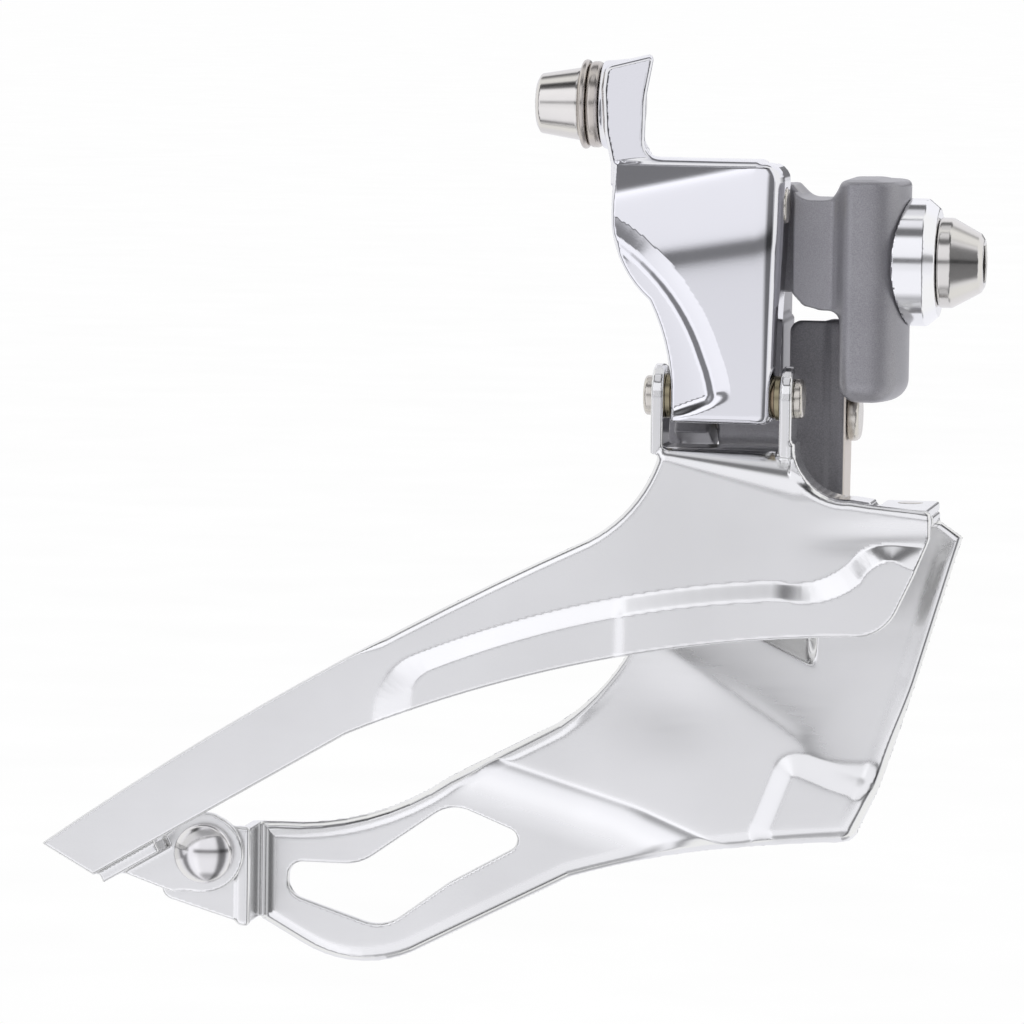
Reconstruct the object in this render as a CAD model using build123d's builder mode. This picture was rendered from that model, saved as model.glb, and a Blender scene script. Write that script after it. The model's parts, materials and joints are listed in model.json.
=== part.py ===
from build123d import *
import os
from math import cos, radians, sin

os.makedirs("parts", exist_ok=True)

# Frame, in millimetres: +X bike-forward, +Y towards the bike (inboard), +Z up.
# The origin is the apex of the convex braze-on saddle, on the fixing bolt's axis.

# Pivot axes all run along X. Each place is (y, z).
UPPER_OUTER = (-8.0, 6.4)
LOWER_OUTER = (-9.9, -15.1)
UPPER_INNER = (6.9, -18.0)
LINK_Y = LOWER_OUTER[0] - UPPER_OUTER[0]
LINK_Z = LOWER_OUTER[1] - UPPER_OUTER[1]
LOWER_INNER = (UPPER_INNER[0] + LINK_Y, UPPER_INNER[1] + LINK_Z)
SWING = 46.0

# Running and fitting clearances on the radius.
RUNNING = 0.05
FITTED = 0.01

# Pins and bushes.
OUTER_UPPER_PIN_R = 2.0
OUTER_LOWER_PIN_R = 1.6
OUTER_LOWER_HEAD_R = 2.25
INNER_PIN_R = 2.0
INNER_PIN_HEAD_R = 2.95
BUSH_WALL = 0.6
THRUST_WASHER_R = 2.5
THRUST_WASHER_SHEET = 0.5

# Cage.
CAGE_OUTBOARD = -14.0
OUTER_SHEET = 1.4
INNER_SHEET = 1.2
EAR_SHEET = 1.4
EAR_R = 3.6
BAND_RAISE = 0.9
CAGE_INSIDE = CAGE_OUTBOARD + OUTER_SHEET

# Base.
SADDLE_R = 16.0
SADDLE_HALF_WIDTH = 7.5
BARREL_R = 3.6
LUG_R = 5.0
LUG_X = (-22.0, -14.5)
BLOCK_TOP = 6.2
BLOCK_BOTTOM = -8.0

# Outer link.
HOOD_R = 5.1
HOOD_FOOT_R = 3.2
HOOD_REAR = -4.2
ARM_LEAN = (-0.15, 1.0, 0.0)

# Inner link.
FLANGE_SHEET = 1.5
LEFT_FLANGE_X = -27.6
RIGHT_FLANGE_X = -9.0
WEB_Y = (1.4, 2.4)
CAM_X = (-26.6, -22.6)

# Limit screws, M4 with a dog point.
LIMIT_X = -25.2
HIGH_LIMIT_Y = 2.5
LOW_LIMIT_Y = 11.5
LIMIT_THREAD_R = 2.0
LIMIT_DOG_R = 1.5
LIMIT_HEAD_R = 2.9
HIGH_SHOULDER = 4.0
LOW_SHOULDER = 6.0
PLATE_SHEET = 0.8

# Fixing bolt, M5, and its concave washer.
BOLT_R = 2.5
WASHER_R = 7.2
WASHER_CONCAVE_R = 18.0
WASHER_FACE = 3.4

# Cable anchor: bolt axis along X at (y, z), clamp face at ANCHOR_X.
ANCHOR = (4.0, 17.0)
ANCHOR_X = -35.9
ANCHOR_BOLT_R = 2.5
CABLE_R = 0.7
CABLE_Y = 7.4

# Return spring on the inner upper pin.
WIRE_R = 0.6
COIL_R = 3.6
COIL_PITCH = 1.3
COIL_TURNS = 2.75
STEPS_PER_TURN = 12
COIL_X = -13.6

# Tail screw, along Y.
TAIL_SCREW = (-79.0, -69.1)
TAIL_TAB_Y = -8.0
TAIL_SHEET = 1.1
TAIL_SCREW_R = 2.0
TAIL_SCREW_HEAD_R = 3.45

# Rivet that joins the plates at the front, along Z at (x, y).
RIVET = (0.9, -3.2)
RIVET_R = 1.5
RIVET_HEAD_R = 2.3


def across(x):
    """Plane across the bike-forward axis: sketches are (y, z), extrusions grow to +X."""
    return Plane.YZ.offset(x)


def upright(y):
    """Plane along the cage plates: sketches are (x, z), extrusions grow outboard."""
    return Plane.XZ.offset(-y)


def bar_along_x(x_from, x_to, radius, centre, mode=Mode.ADD):
    """Round bar along X, joined to or cut from the part being built."""
    with BuildSketch(across(x_from)) as disc:
        with Locations(centre):
            Circle(radius)
    extrude(disc.sketch, amount=x_to - x_from, mode=mode)


def bar_along_y(y_from, y_to, radius, centre, mode=Mode.ADD):
    """Round bar along Y, growing outboard from y_from to y_to."""
    with BuildSketch(upright(y_from)) as disc:
        with Locations(centre):
            Circle(radius)
    extrude(disc.sketch, amount=y_from - y_to, mode=mode)


def bar_along_z(z_from, z_to, radius, centre, mode=Mode.ADD):
    """Round bar along Z, growing upwards."""
    with BuildSketch(Plane.XY.offset(z_from)) as disc:
        with Locations(centre):
            Circle(radius)
    extrude(disc.sketch, amount=z_to - z_from, mode=mode)


def slab(x_range, y_range, z_range, mode=Mode.ADD):
    """Straight-sided block between two places on each axis."""
    centre = [(low + high) / 2 for low, high in (x_range, y_range, z_range)]
    size = [high - low for low, high in (x_range, y_range, z_range)]
    with Locations(tuple(centre)):
        Box(*size, mode=mode)


def profile_along_x(x_range, corners, mode=Mode.ADD):
    """Straight-cornered (y, z) profile run from x to x."""
    with BuildSketch(across(x_range[0])) as face:
        with BuildLine():
            Polyline(*corners, close=True)
        make_face()
    extrude(face.sketch, amount=x_range[1] - x_range[0], mode=mode)


def profile_outboard(y_from, y_to, corners, mode=Mode.ADD):
    """Straight-cornered (x, z) profile run outboard from y_from to y_to."""
    with BuildSketch(upright(y_from)) as face:
        with BuildLine():
            Polyline(*corners, close=True)
        make_face()
    extrude(face.sketch, amount=y_from - y_to, mode=mode)


def linked_circles(x_range, circles, mode=Mode.ADD):
    """Outline wrapped round (centre, radius) circles and run along X."""
    with BuildSketch(across(x_range[0])) as face:
        for centre, radius in circles:
            with Locations(centre):
                Circle(radius)
        make_hull()
    extrude(face.sketch, amount=x_range[1] - x_range[0], mode=mode)


def turned(place, degrees_inboard):
    """Place (y, z) about a pivot after its top has turned inboard."""
    turn = radians(degrees_inboard)
    y, z = place
    return (y * cos(turn) + z * sin(turn), z * cos(turn) - y * sin(turn))


def about(pivot, place):
    """Place (y, z) measured from a pivot, in the common frame."""
    return (pivot[0] + place[0], pivot[1] + place[1])


# ---------------------------------------------------------------- base bracket
BOSS_TOP = 9.2
BOSS_FOOT = -15.7
ARM_FRONT = -5.8
ARM_REAR = 5.0
NOTCH_REAR = -2.6

with BuildPart() as base_bracket:
    with BuildSketch(Plane.XY.offset(BOSS_FOOT)):
        with BuildLine():
            saddle_side_x = (SADDLE_R**2 - SADDLE_HALF_WIDTH**2) ** 0.5 - SADDLE_R
            ThreePointArc(
                (saddle_side_x, -SADDLE_HALF_WIDTH), (0, 0), (saddle_side_x, SADDLE_HALF_WIDTH)
            )
            Line((saddle_side_x, SADDLE_HALF_WIDTH), (-3.5, SADDLE_HALF_WIDTH))
            RadiusArc((-3.5, SADDLE_HALF_WIDTH), (-7.0, 4.0), -3.5)
            Line((-7.0, 4.0), (-7.0, -4.0))
            RadiusArc((-7.0, -4.0), (-3.5, -SADDLE_HALF_WIDTH), -3.5)
            Line((-3.5, -SADDLE_HALF_WIDTH), (saddle_side_x, -SADDLE_HALF_WIDTH))
        make_face()
    extrude(amount=BOSS_TOP - BOSS_FOOT)
    fillet(base_bracket.faces().sort_by(Axis.Z)[0].edges(), 1.6)
    fillet(base_bracket.faces().sort_by(Axis.Z)[-1].edges(), 0.6)
    # Arm from the boss to the pivot barrel, with a shallow dip in its top edge.
    profile_outboard(
        ARM_REAR,
        ARM_FRONT,
        [
            (-5.0, 8.6), (-8.0, 8.4), (-9.2, 7.3), (-12.0, 7.2), (-12.7, 7.9), (-16.0, 7.9),
            (-16.0, -4.6), (-11.5, -4.6), (-10.6, -5.6), (-5.0, -5.8),
        ],
    )
    # Notch that clears the outer link's right wall.
    slab((-18.0, -12.7), (-12.0, NOTCH_REAR), (-10.0, 12.0), mode=Mode.SUBTRACT)
    # Rear block that carries the limit screws, and its neck to the barrel.
    slab((-28.2, -15.1), (-1.0, 14.8), (BLOCK_BOTTOM, BLOCK_TOP))
    slab((-28.2, -15.3), (UPPER_OUTER[0], 0.0), (2.8, BLOCK_TOP))
    bar_along_x(-30.0, -15.3, BARREL_R, UPPER_OUTER)
    # Lug of the inner link's upper pivot.
    slab(LUG_X, (UPPER_INNER[0] - LUG_R, UPPER_INNER[0] + LUG_R), (UPPER_INNER[1], BLOCK_BOTTOM + 1))
    bar_along_x(*LUG_X, LUG_R, UPPER_INNER)
    bar_along_x(*LUG_X, INNER_PIN_R + FITTED, UPPER_INNER, mode=Mode.SUBTRACT)
    spring_hole = about(UPPER_INNER, (0, COIL_R))
    bar_along_x(LUG_X[1] - 3.2, LUG_X[1], WIRE_R + 0.3, spring_hole, mode=Mode.SUBTRACT)
    # Barrel bore for the bushes, limit screw holes and the fixing bolt's blind hole.
    bar_along_x(
        -30.0, -15.3, OUTER_UPPER_PIN_R + RUNNING + BUSH_WALL + FITTED, UPPER_OUTER, mode=Mode.SUBTRACT
    )
    for screw_y in (HIGH_LIMIT_Y, LOW_LIMIT_Y):
        bar_along_z(
            BLOCK_BOTTOM, BLOCK_TOP, LIMIT_THREAD_R + RUNNING, (LIMIT_X, screw_y), mode=Mode.SUBTRACT
        )
    bar_along_x(-10.0, 0.5, BOLT_R + FITTED, (0, 0), mode=Mode.SUBTRACT)
base_bracket.part.label = "base_bracket"
export_step(base_bracket.part, "parts/base_bracket.step")

# ----------------------------------------------------------------- outer link
HOOD_RIGHT = -12.9
HOOD_TOP = 11.5
FOOT_X = (-25.4, -13.7)
CAVITY_X = (-30.6, -14.6)

with BuildPart() as hood_cavity:
    with BuildSketch(upright(2.0)):
        with BuildLine():
            Polyline(
                (CAVITY_X[0], HOOD_TOP + 4), (CAVITY_X[1], HOOD_TOP + 4), (CAVITY_X[1], -11.6),
                (-24.0, -11.6), (-24.6, -6.5), (-29.2, 0.0), (CAVITY_X[0], 2.4),
                close=True,
            )
        make_face()
    extrude(amount=16.0)
    with BuildSketch(across(-40.0)) as cavity_side:
        with Locations(UPPER_OUTER):
            Circle(BARREL_R + 0.3)
        with BuildLine():
            Polyline(
                (-11.9, UPPER_OUTER[1]), (-11.9, -11.6), (2.0, -11.6), (2.0, HOOD_TOP + 4),
                (-6.5, HOOD_TOP + 4), (-6.5, UPPER_OUTER[1]),
                close=True,
            )
        make_face()
    extrude(cavity_side.sketch, amount=40.0, mode=Mode.INTERSECT)

with BuildPart() as cable_arm:
    with BuildSketch(upright(-12.0)) as arm_front:
        with BuildLine():
            Polyline(
                (-32.9, 8.0), (-28.9, 8.0), (-28.8, 13.6), (-28.6, 18.1), (-27.7, 22.6),
                (-28.6, 23.0), (-33.0, 21.6), (-33.5, 20.0), (-33.2, 15.8),
                close=True,
            )
        make_face()
    extrude(arm_front.sketch, amount=24.0, dir=Vector(*ARM_LEAN))
    with BuildSketch(across(-42.0)) as arm_side:
        with BuildLine():
            Polyline(
                (-11.6, 8.0), (-4.4, 8.0), (2.2, 12.2), (3.4, 11.0), (8.4, 11.0), (9.0, 13.0),
                (8.6, 19.6), (6.5, 23.4), (0.5, 23.4), (-3.4, 20.6), (-11.2, 10.6),
                close=True,
            )
        make_face()
    extrude(arm_side.sketch, amount=24.0, mode=Mode.INTERSECT)

with BuildPart() as outer_link:
    with BuildSketch(upright(0.0)):
        with BuildLine():
            Polyline(
                (FOOT_X[0], -17.7), (FOOT_X[1], -17.6), (-13.2, -7.3), (HOOD_RIGHT, 1.7),
                (HOOD_RIGHT, 9.3),
            )
            RadiusArc((HOOD_RIGHT, 9.3), (-15.1, HOOD_TOP), -2.2)
            Line((-15.1, HOOD_TOP), (-32.6, HOOD_TOP))
            Polyline((-32.6, HOOD_TOP), (-32.3, 7.9), (-32.3, 4.0))
            ThreePointArc((-32.3, 4.0), (-31.0, -0.2), (-27.9, -4.2))
            ThreePointArc((-27.9, -4.2), (-26.1, -8.8), (FOOT_X[0], -17.7))
        make_face()
    extrude(amount=16.0)
    with BuildSketch(across(-40.0)) as hood_side:
        with Locations(UPPER_OUTER):
            Circle(HOOD_R)
        with Locations(LOWER_OUTER):
            Circle(HOOD_FOOT_R)
        make_hull()
        with Locations((HOOD_REAR + 5.0, 0)):
            Rectangle(10.0, 60.0, mode=Mode.SUBTRACT)
    extrude(hood_side.sketch, amount=40.0, mode=Mode.INTERSECT)
    add(hood_cavity.part, mode=Mode.SUBTRACT)
    add(cable_arm.part)
    # Seat for the right thrust washer and ear.
    bar_along_x(FOOT_X[1], -12.0, 4.3, LOWER_OUTER, mode=Mode.SUBTRACT)
    bar_along_x(FOOT_X[0] - 3.0, FOOT_X[0], 4.3, LOWER_OUTER, mode=Mode.SUBTRACT)
    # Pin holes, the anchor bolt's hole and the half groove for the cable.
    bar_along_x(*CAVITY_X, BARREL_R + 0.3, UPPER_OUTER, mode=Mode.SUBTRACT)
    bar_along_x(-34.0, -12.0, OUTER_UPPER_PIN_R + FITTED, UPPER_OUTER, mode=Mode.SUBTRACT)
    bar_along_x(
        -27.0, -13.0, OUTER_LOWER_PIN_R + RUNNING + BUSH_WALL + FITTED, LOWER_OUTER, mode=Mode.SUBTRACT
    )
    slab((-45.0, ANCHOR_X), (-6.0, 12.0), (8.0, 26.0), mode=Mode.SUBTRACT)
    bar_along_x(ANCHOR_X, -26.0, ANCHOR_BOLT_R + FITTED, ANCHOR, mode=Mode.SUBTRACT)
    bar_along_z(10.0, 25.0, CABLE_R, (ANCHOR_X, CABLE_Y), mode=Mode.SUBTRACT)
outer_link.part.label = "outer_link"
export_step(outer_link.part, "parts/outer_link.step")

# ----------------------------------------------------------------- inner link
LEVER_TOP = -7.0
WEB_Z = (LOWER_INNER[1] + 4.5, -24.5)
FLANGE_TOP_R = 4.2
FLANGE_FOOT_R = 3.6
SHOULDER_OUT = (-6.5, HIGH_SHOULDER)
SHOULDER_IN = (-2.2, HIGH_SHOULDER)

with BuildPart() as inner_link:
    for flange_x in (LEFT_FLANGE_X, RIGHT_FLANGE_X):
        linked_circles(
            (flange_x, flange_x + FLANGE_SHEET),
            [(UPPER_INNER, FLANGE_TOP_R), (LOWER_INNER, FLANGE_FOOT_R)],
        )
    # Right flange runs up beside the lever.
    profile_along_x(
        (RIGHT_FLANGE_X, RIGHT_FLANGE_X + FLANGE_SHEET),
        [
            (WEB_Y[0], LOWER_INNER[1]), (WEB_Y[0], LEVER_TOP), (4.2, LEVER_TOP - 0.6),
            (6.6, -14.0), UPPER_INNER, LOWER_INNER,
        ],
    )
    # Left flange reaches outboard only where the web joins it.
    profile_along_x(
        (LEFT_FLANGE_X, LEFT_FLANGE_X + FLANGE_SHEET),
        [(WEB_Y[0], LOWER_INNER[1]), (WEB_Y[0], WEB_Z[1]), (3.4, -21.0), UPPER_INNER, LOWER_INNER],
    )
    slab((LEFT_FLANGE_X, RIGHT_FLANGE_X + FLANGE_SHEET), WEB_Y, WEB_Z)
    slab((-13.7, RIGHT_FLANGE_X + FLANGE_SHEET), WEB_Y, (WEB_Z[0], LEVER_TOP))
    # Cam with two shoulders: one meets the high limit screw, one the low limit screw.
    profile_along_x(
        CAM_X,
        [
            about(UPPER_INNER, place)
            for place in (
                turned(SHOULDER_OUT, -SWING), turned(SHOULDER_IN, -SWING), (-2.2, HIGH_SHOULDER),
                (-2.2, LOW_SHOULDER), (6.8, LOW_SHOULDER), (6.8, 3.2), (3.6, -2.6), (0.0, -4.2),
                (-3.6, -3.4),
            )
        ],
    )
    bar_along_x(-31.0, -7.0, INNER_PIN_R + RUNNING, UPPER_INNER, mode=Mode.SUBTRACT)
    bar_along_x(-31.0, -7.0, INNER_PIN_R + RUNNING, LOWER_INNER, mode=Mode.SUBTRACT)
inner_link.part.label = "inner_link"
export_step(inner_link.part, "parts/inner_link.step")

# ----------------------------------------------------------- outer cage plate
WEB_TOP = -20.6
EAR_X = (-27.4, -12.9)
CAGE_WEB_REAR = -6.3
BRIDGE_X = (-2.2, 3.9)
BRIDGE_TOP = -27.0

with BuildPart() as outer_cage_plate:
    with BuildSketch(upright(CAGE_INSIDE)):
        with BuildLine():
            ThreePointArc((-96.9, -67.8), (-63.4, -46.3), (-32.8, -30.1))
            ThreePointArc((-32.8, -30.1), (-28.7, -26.1), (-26.0, WEB_TOP))
            Line((-26.0, WEB_TOP), (-11.5, WEB_TOP))
            ThreePointArc((-11.5, WEB_TOP), (-9.4, -24.6), (-4.7, -25.9))
            Polyline((-4.7, -25.9), (4.1, -26.9), (4.1, -30.2), (0.3, -38.7))
            ThreePointArc((0.3, -38.7), (-1.6, -40.7), (-4.4, -41.3))
            ThreePointArc((-4.4, -41.3), (-32.6, -44.8), (-61.6, -54.2))
            Polyline((-61.6, -54.2), (-90.7, -71.3), (-96.9, -67.8))
        make_face()
    extrude(amount=OUTER_SHEET)
    # Raised band along the lower edge.
    with BuildSketch(upright(CAGE_OUTBOARD)) as band:
        with BuildLine():
            ThreePointArc((-4.4, -41.3), (-31.0, -44.4), (-57.8, -52.8))
            Polyline((-57.8, -52.8), (-57.9, -50.1), (-55.4, -46.1))
            ThreePointArc((-55.4, -46.1), (-31.0, -38.3), (-4.5, -36.3))
            Polyline((-4.5, -36.3), (-1.1, -33.7), (1.6, -30.8), (4.0, -31.1), (0.3, -38.7))
            ThreePointArc((0.3, -38.7), (-1.6, -40.7), (-4.4, -41.3))
        make_face()
    extrude(band.sketch, amount=BAND_RAISE)
    # Top web, folded inboard, and the two ears folded up from it.
    slab((EAR_X[0], EAR_X[1] + EAR_SHEET), (CAGE_OUTBOARD, CAGE_WEB_REAR), (WEB_TOP - 1.3, WEB_TOP))
    for ear_x in EAR_X:
        linked_circles(
            (ear_x, ear_x + EAR_SHEET),
            [(LOWER_OUTER, EAR_R), ((LOWER_OUTER[0] + 0.8, WEB_TOP - 0.6), 0.7),
             ((LOWER_OUTER[0] - 3.0, WEB_TOP - 0.6), 0.7)],
        )
    bar_along_x(-28.0, -11.0, OUTER_LOWER_PIN_R + FITTED, LOWER_OUTER, mode=Mode.SUBTRACT)
    # Front bridge to the inner plate.
    slab(BRIDGE_X, (CAGE_INSIDE - 0.5, 0.0), (BRIDGE_TOP - 1.2, BRIDGE_TOP))
    bar_along_z(BRIDGE_TOP - 1.2, BRIDGE_TOP, RIVET_R + FITTED, RIVET, mode=Mode.SUBTRACT)
    # Tail flange folded inboard, and the tab turned down from it.
    profile_outboard(
        TAIL_TAB_Y + TAIL_SHEET, CAGE_INSIDE,
        [(-90.0, -70.9), (-84.0, -67.35), (-83.4, -68.4), (-89.4, -72.0)],
    )
    profile_outboard(
        TAIL_TAB_Y + TAIL_SHEET, TAIL_TAB_Y,
        [(-89.9, -71.0), (-82.7, -73.6), (-76.1, -74.8), (-73.6, -65.2), (-79.0, -64.6), (-84.2, -67.6)],
    )
    bar_along_y(
        TAIL_TAB_Y + TAIL_SHEET, TAIL_TAB_Y, TAIL_SCREW_R + FITTED, TAIL_SCREW, mode=Mode.SUBTRACT
    )
outer_cage_plate.part.label = "outer_cage_plate"
export_step(outer_cage_plate.part, "parts/outer_cage_plate.step")

# ----------------------------------------------------------- inner cage plate
INNER_EAR_X = (-25.8, -12.0)
TONGUE_Y = TAIL_TAB_Y + TAIL_SHEET + 0.02
STEP_X = (-75.3, -74.1)

with BuildPart() as inner_cage_plate:
    with BuildSketch(upright(INNER_SHEET)):
        with BuildLine():
            Polyline(
                (-27.0, -26.5), (-2.5, -26.5), (3.2, -28.5), (6.8, -30.9), (1.9, -47.4),
                (-2.3, -60.2), (-4.4, -64.7),
            )
            ThreePointArc((-4.4, -64.7), (-5.3, -65.8), (-6.8, -66.2))
            ThreePointArc((-6.8, -66.2), (-22.5, -68.0), (-38.0, -71.7))
            Polyline((-38.0, -71.7), (-57.3, -81.6))
            ThreePointArc((-57.3, -81.6), (-63.4, -82.4), (-69.3, -80.5))
            Polyline((-69.3, -80.5), (STEP_X[1], -77.8), (STEP_X[1], -66.3), (-65.5, -65.9))
            ThreePointArc((-65.5, -65.9), (-52.2, -60.6), (-39.3, -53.4))
            ThreePointArc((-39.3, -53.4), (-31.9, -45.9), (-28.4, -36.0))
            Line((-28.4, -36.0), (-27.0, -26.5))
        make_face()
        # Weight-saving slot.
        with BuildLine() as slot_edge:
            Polyline((-68.6, -70.8), (-64.2, -70.5), (-57.2, -68.2), (-52.8, -65.6))
            ThreePointArc((-52.8, -65.6), (-50.2, -64.9), (-48.0, -65.1))
            Line((-48.0, -65.1), (-44.4, -66.5))
            ThreePointArc((-44.4, -66.5), (-43.6, -67.5), (-44.4, -68.5))
            Polyline((-44.4, -68.5), (-58.7, -76.7))
            ThreePointArc((-58.7, -76.7), (-61.8, -77.2), (-64.8, -76.7))
            Polyline((-64.8, -76.7), (-68.4, -75.0))
            ThreePointArc((-68.4, -75.0), (-70.2, -72.7), (-68.6, -70.8))
        make_face(slot_edge.edges(), mode=Mode.SUBTRACT)
    extrude(amount=INNER_SHEET)
    # Front stiffening flange and the ramp that lifts the chain.
    profile_outboard(
        0.0, -1.4,
        [
            (4.9, -31.0), (6.8, -30.9), (1.9, -47.4), (-2.3, -60.2), (-4.4, -64.7), (-5.6, -64.0),
            (-3.8, -60.2),
        ],
    )
    profile_outboard(
        0.0, -1.5, [(-13.5, -56.6), (-4.6, -58.4), (-5.4, -64.4), (-14.6, -65.4)]
    )
    profile_outboard(
        0.0, -1.0, [(-27.9, -65.6), (-29.9, -62.4), (-24.1, -47.0), (-11.3, -54.5), (-13.5, -65.0)]
    )
    # Ears of the inner link's lower pivot.
    for ear_x in INNER_EAR_X:
        linked_circles(
            (ear_x, ear_x + EAR_SHEET),
            [(LOWER_INNER, EAR_R), ((0.8, LOWER_INNER[1] + 3.0), 0.6), ((0.8, LOWER_INNER[1] - 3.0), 0.6)],
        )
    bar_along_x(-28.0, -10.0, INNER_PIN_R + FITTED, LOWER_INNER, mode=Mode.SUBTRACT)
    # Tab under the outer plate's bridge.
    slab(BRIDGE_X, (-6.6, INNER_SHEET), (BRIDGE_TOP - 2.42, BRIDGE_TOP - 1.22))
    bar_along_z(BRIDGE_TOP - 2.42, BRIDGE_TOP - 1.22, RIVET_R + FITTED, RIVET, mode=Mode.SUBTRACT)
    # Step outboard at the tail, and the tongue behind the outer plate's tab.
    slab(STEP_X, (TONGUE_Y, INNER_SHEET), (-77.4, -66.3))
    profile_outboard(
        TONGUE_Y + TAIL_SHEET, TONGUE_Y,
        [(-84.2, -74.4), (-84.2, -68.6), (-79.0, -65.6), (STEP_X[1], -66.3), (STEP_X[1], -77.4)],
    )
    bar_along_y(
        TONGUE_Y + TAIL_SHEET, TONGUE_Y, TAIL_SCREW_R + FITTED, TAIL_SCREW, mode=Mode.SUBTRACT
    )
inner_cage_plate.part.label = "inner_cage_plate"
export_step(inner_cage_plate.part, "parts/inner_cage_plate.step")

# -------------------------------------------------------------- pivot hardware
with BuildPart() as outer_upper_pin:
    bar_along_x(-32.2, -12.85, OUTER_UPPER_PIN_R, UPPER_OUTER)
    chamfer(outer_upper_pin.edges().filter_by(GeomType.CIRCLE), 0.3)
outer_upper_pin.part.label = "outer_upper_pin"
export_step(outer_upper_pin.part, "parts/outer_upper_pin.step")

with BuildPart() as outer_lower_pin:
    bar_along_x(EAR_X[0], EAR_X[1] + EAR_SHEET, OUTER_LOWER_PIN_R, LOWER_OUTER)
    bar_along_x(EAR_X[0] - 1.1, EAR_X[0], OUTER_LOWER_HEAD_R, LOWER_OUTER)
    bar_along_x(EAR_X[1] + EAR_SHEET, EAR_X[1] + EAR_SHEET + 1.0, OUTER_LOWER_HEAD_R, LOWER_OUTER)
    chamfer(outer_lower_pin.faces().sort_by(Axis.X)[0].edges(), 0.4)
    chamfer(outer_lower_pin.faces().sort_by(Axis.X)[-1].edges(), 0.4)
outer_lower_pin.part.label = "outer_lower_pin"
export_step(outer_lower_pin.part, "parts/outer_lower_pin.step")

with BuildPart() as inner_upper_pin:
    bar_along_x(LEFT_FLANGE_X - 0.2, RIGHT_FLANGE_X + FLANGE_SHEET + 0.15, INNER_PIN_R, UPPER_INNER)
    for head_x, fillet_side in ((LEFT_FLANGE_X - 1.5, 0), (RIGHT_FLANGE_X + FLANGE_SHEET + 0.15, -1)):
        bar_along_x(head_x, head_x + 1.3, INNER_PIN_HEAD_R, UPPER_INNER)
        fillet(inner_upper_pin.faces().sort_by(Axis.X)[fillet_side].edges(), 0.9)
inner_upper_pin.part.label = "inner_upper_pin"
export_step(inner_upper_pin.part, "parts/inner_upper_pin.step")

with BuildPart() as inner_lower_pin:
    bar_along_x(LEFT_FLANGE_X - 0.2, RIGHT_FLANGE_X + FLANGE_SHEET + 0.15, INNER_PIN_R, LOWER_INNER)
    for head_x, fillet_side in ((LEFT_FLANGE_X - 1.3, 0), (RIGHT_FLANGE_X + FLANGE_SHEET + 0.15, -1)):
        bar_along_x(head_x, head_x + 1.1, INNER_PIN_HEAD_R, LOWER_INNER)
        fillet(inner_lower_pin.faces().sort_by(Axis.X)[fillet_side].edges(), 0.7)
inner_lower_pin.part.label = "inner_lower_pin"
export_step(inner_lower_pin.part, "parts/inner_lower_pin.step")

with BuildPart() as upper_pivot_bushes:
    bush_r = OUTER_UPPER_PIN_R + RUNNING + BUSH_WALL
    for x_from, x_to, flange_x in ((-30.0, -25.0, -30.4), (-20.3, -15.3, -15.3)):
        bar_along_x(x_from, x_to, bush_r, UPPER_OUTER)
        bar_along_x(flange_x, flange_x + 0.4, BARREL_R - 0.2, UPPER_OUTER)
    bar_along_x(-31.0, -14.0, OUTER_UPPER_PIN_R + RUNNING, UPPER_OUTER, mode=Mode.SUBTRACT)
upper_pivot_bushes.part.label = "upper_pivot_bushes"
export_step(upper_pivot_bushes.part, "parts/upper_pivot_bushes.step")

with BuildPart() as lower_pivot_bushes:
    for x_from, x_to in ((FOOT_X[0], FOOT_X[0] + 4.5), (FOOT_X[1] - 4.5, FOOT_X[1])):
        bar_along_x(x_from, x_to, OUTER_LOWER_PIN_R + RUNNING + BUSH_WALL, LOWER_OUTER)
    bar_along_x(-31.0, -9.0, OUTER_LOWER_PIN_R + RUNNING, LOWER_OUTER, mode=Mode.SUBTRACT)
lower_pivot_bushes.part.label = "lower_pivot_bushes"
export_step(lower_pivot_bushes.part, "parts/lower_pivot_bushes.step")

with BuildPart() as thrust_washers:
    for washer_x in (EAR_X[0] + EAR_SHEET + 0.05, FOOT_X[1] + 0.1):
        bar_along_x(washer_x, washer_x + THRUST_WASHER_SHEET, THRUST_WASHER_R, LOWER_OUTER)
    bar_along_x(-31.0, -9.0, OUTER_LOWER_PIN_R + FITTED, LOWER_OUTER, mode=Mode.SUBTRACT)
thrust_washers.part.label = "thrust_washers"
export_step(thrust_washers.part, "parts/thrust_washers.step")

# --------------------------------------------------------------- return spring
with BuildPart() as return_spring:
    # The wire leaves the lug's hole, winds inboard over the pin and ends up the lever.
    coil_steps = round(COIL_TURNS * STEPS_PER_TURN)
    wire_places = [(COIL_X - back, *spring_hole) for back in (3.6, 2.2, 0.9)]
    for step in range(1, coil_steps + 1):
        turn = 360.0 * step / STEPS_PER_TURN
        place = about(UPPER_INNER, turned((0, COIL_R), turn))
        wire_places.append((COIL_X + COIL_PITCH * turn / 360.0, *place))
    coil_end = wire_places[-1]
    wire_places.append((coil_end[0], coil_end[1], coil_end[2] + 4.0))
    wire_places.append((coil_end[0], coil_end[1], LEVER_TOP - 3.0))
    with BuildLine() as wire:
        Spline(*wire_places)
    with BuildSketch(Plane(origin=wire.line @ 0, z_dir=wire.line % 0)):
        Circle(WIRE_R)
    sweep(path=wire.line)
return_spring.part.label = "return_spring"
export_step(return_spring.part, "parts/return_spring.step")


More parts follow.
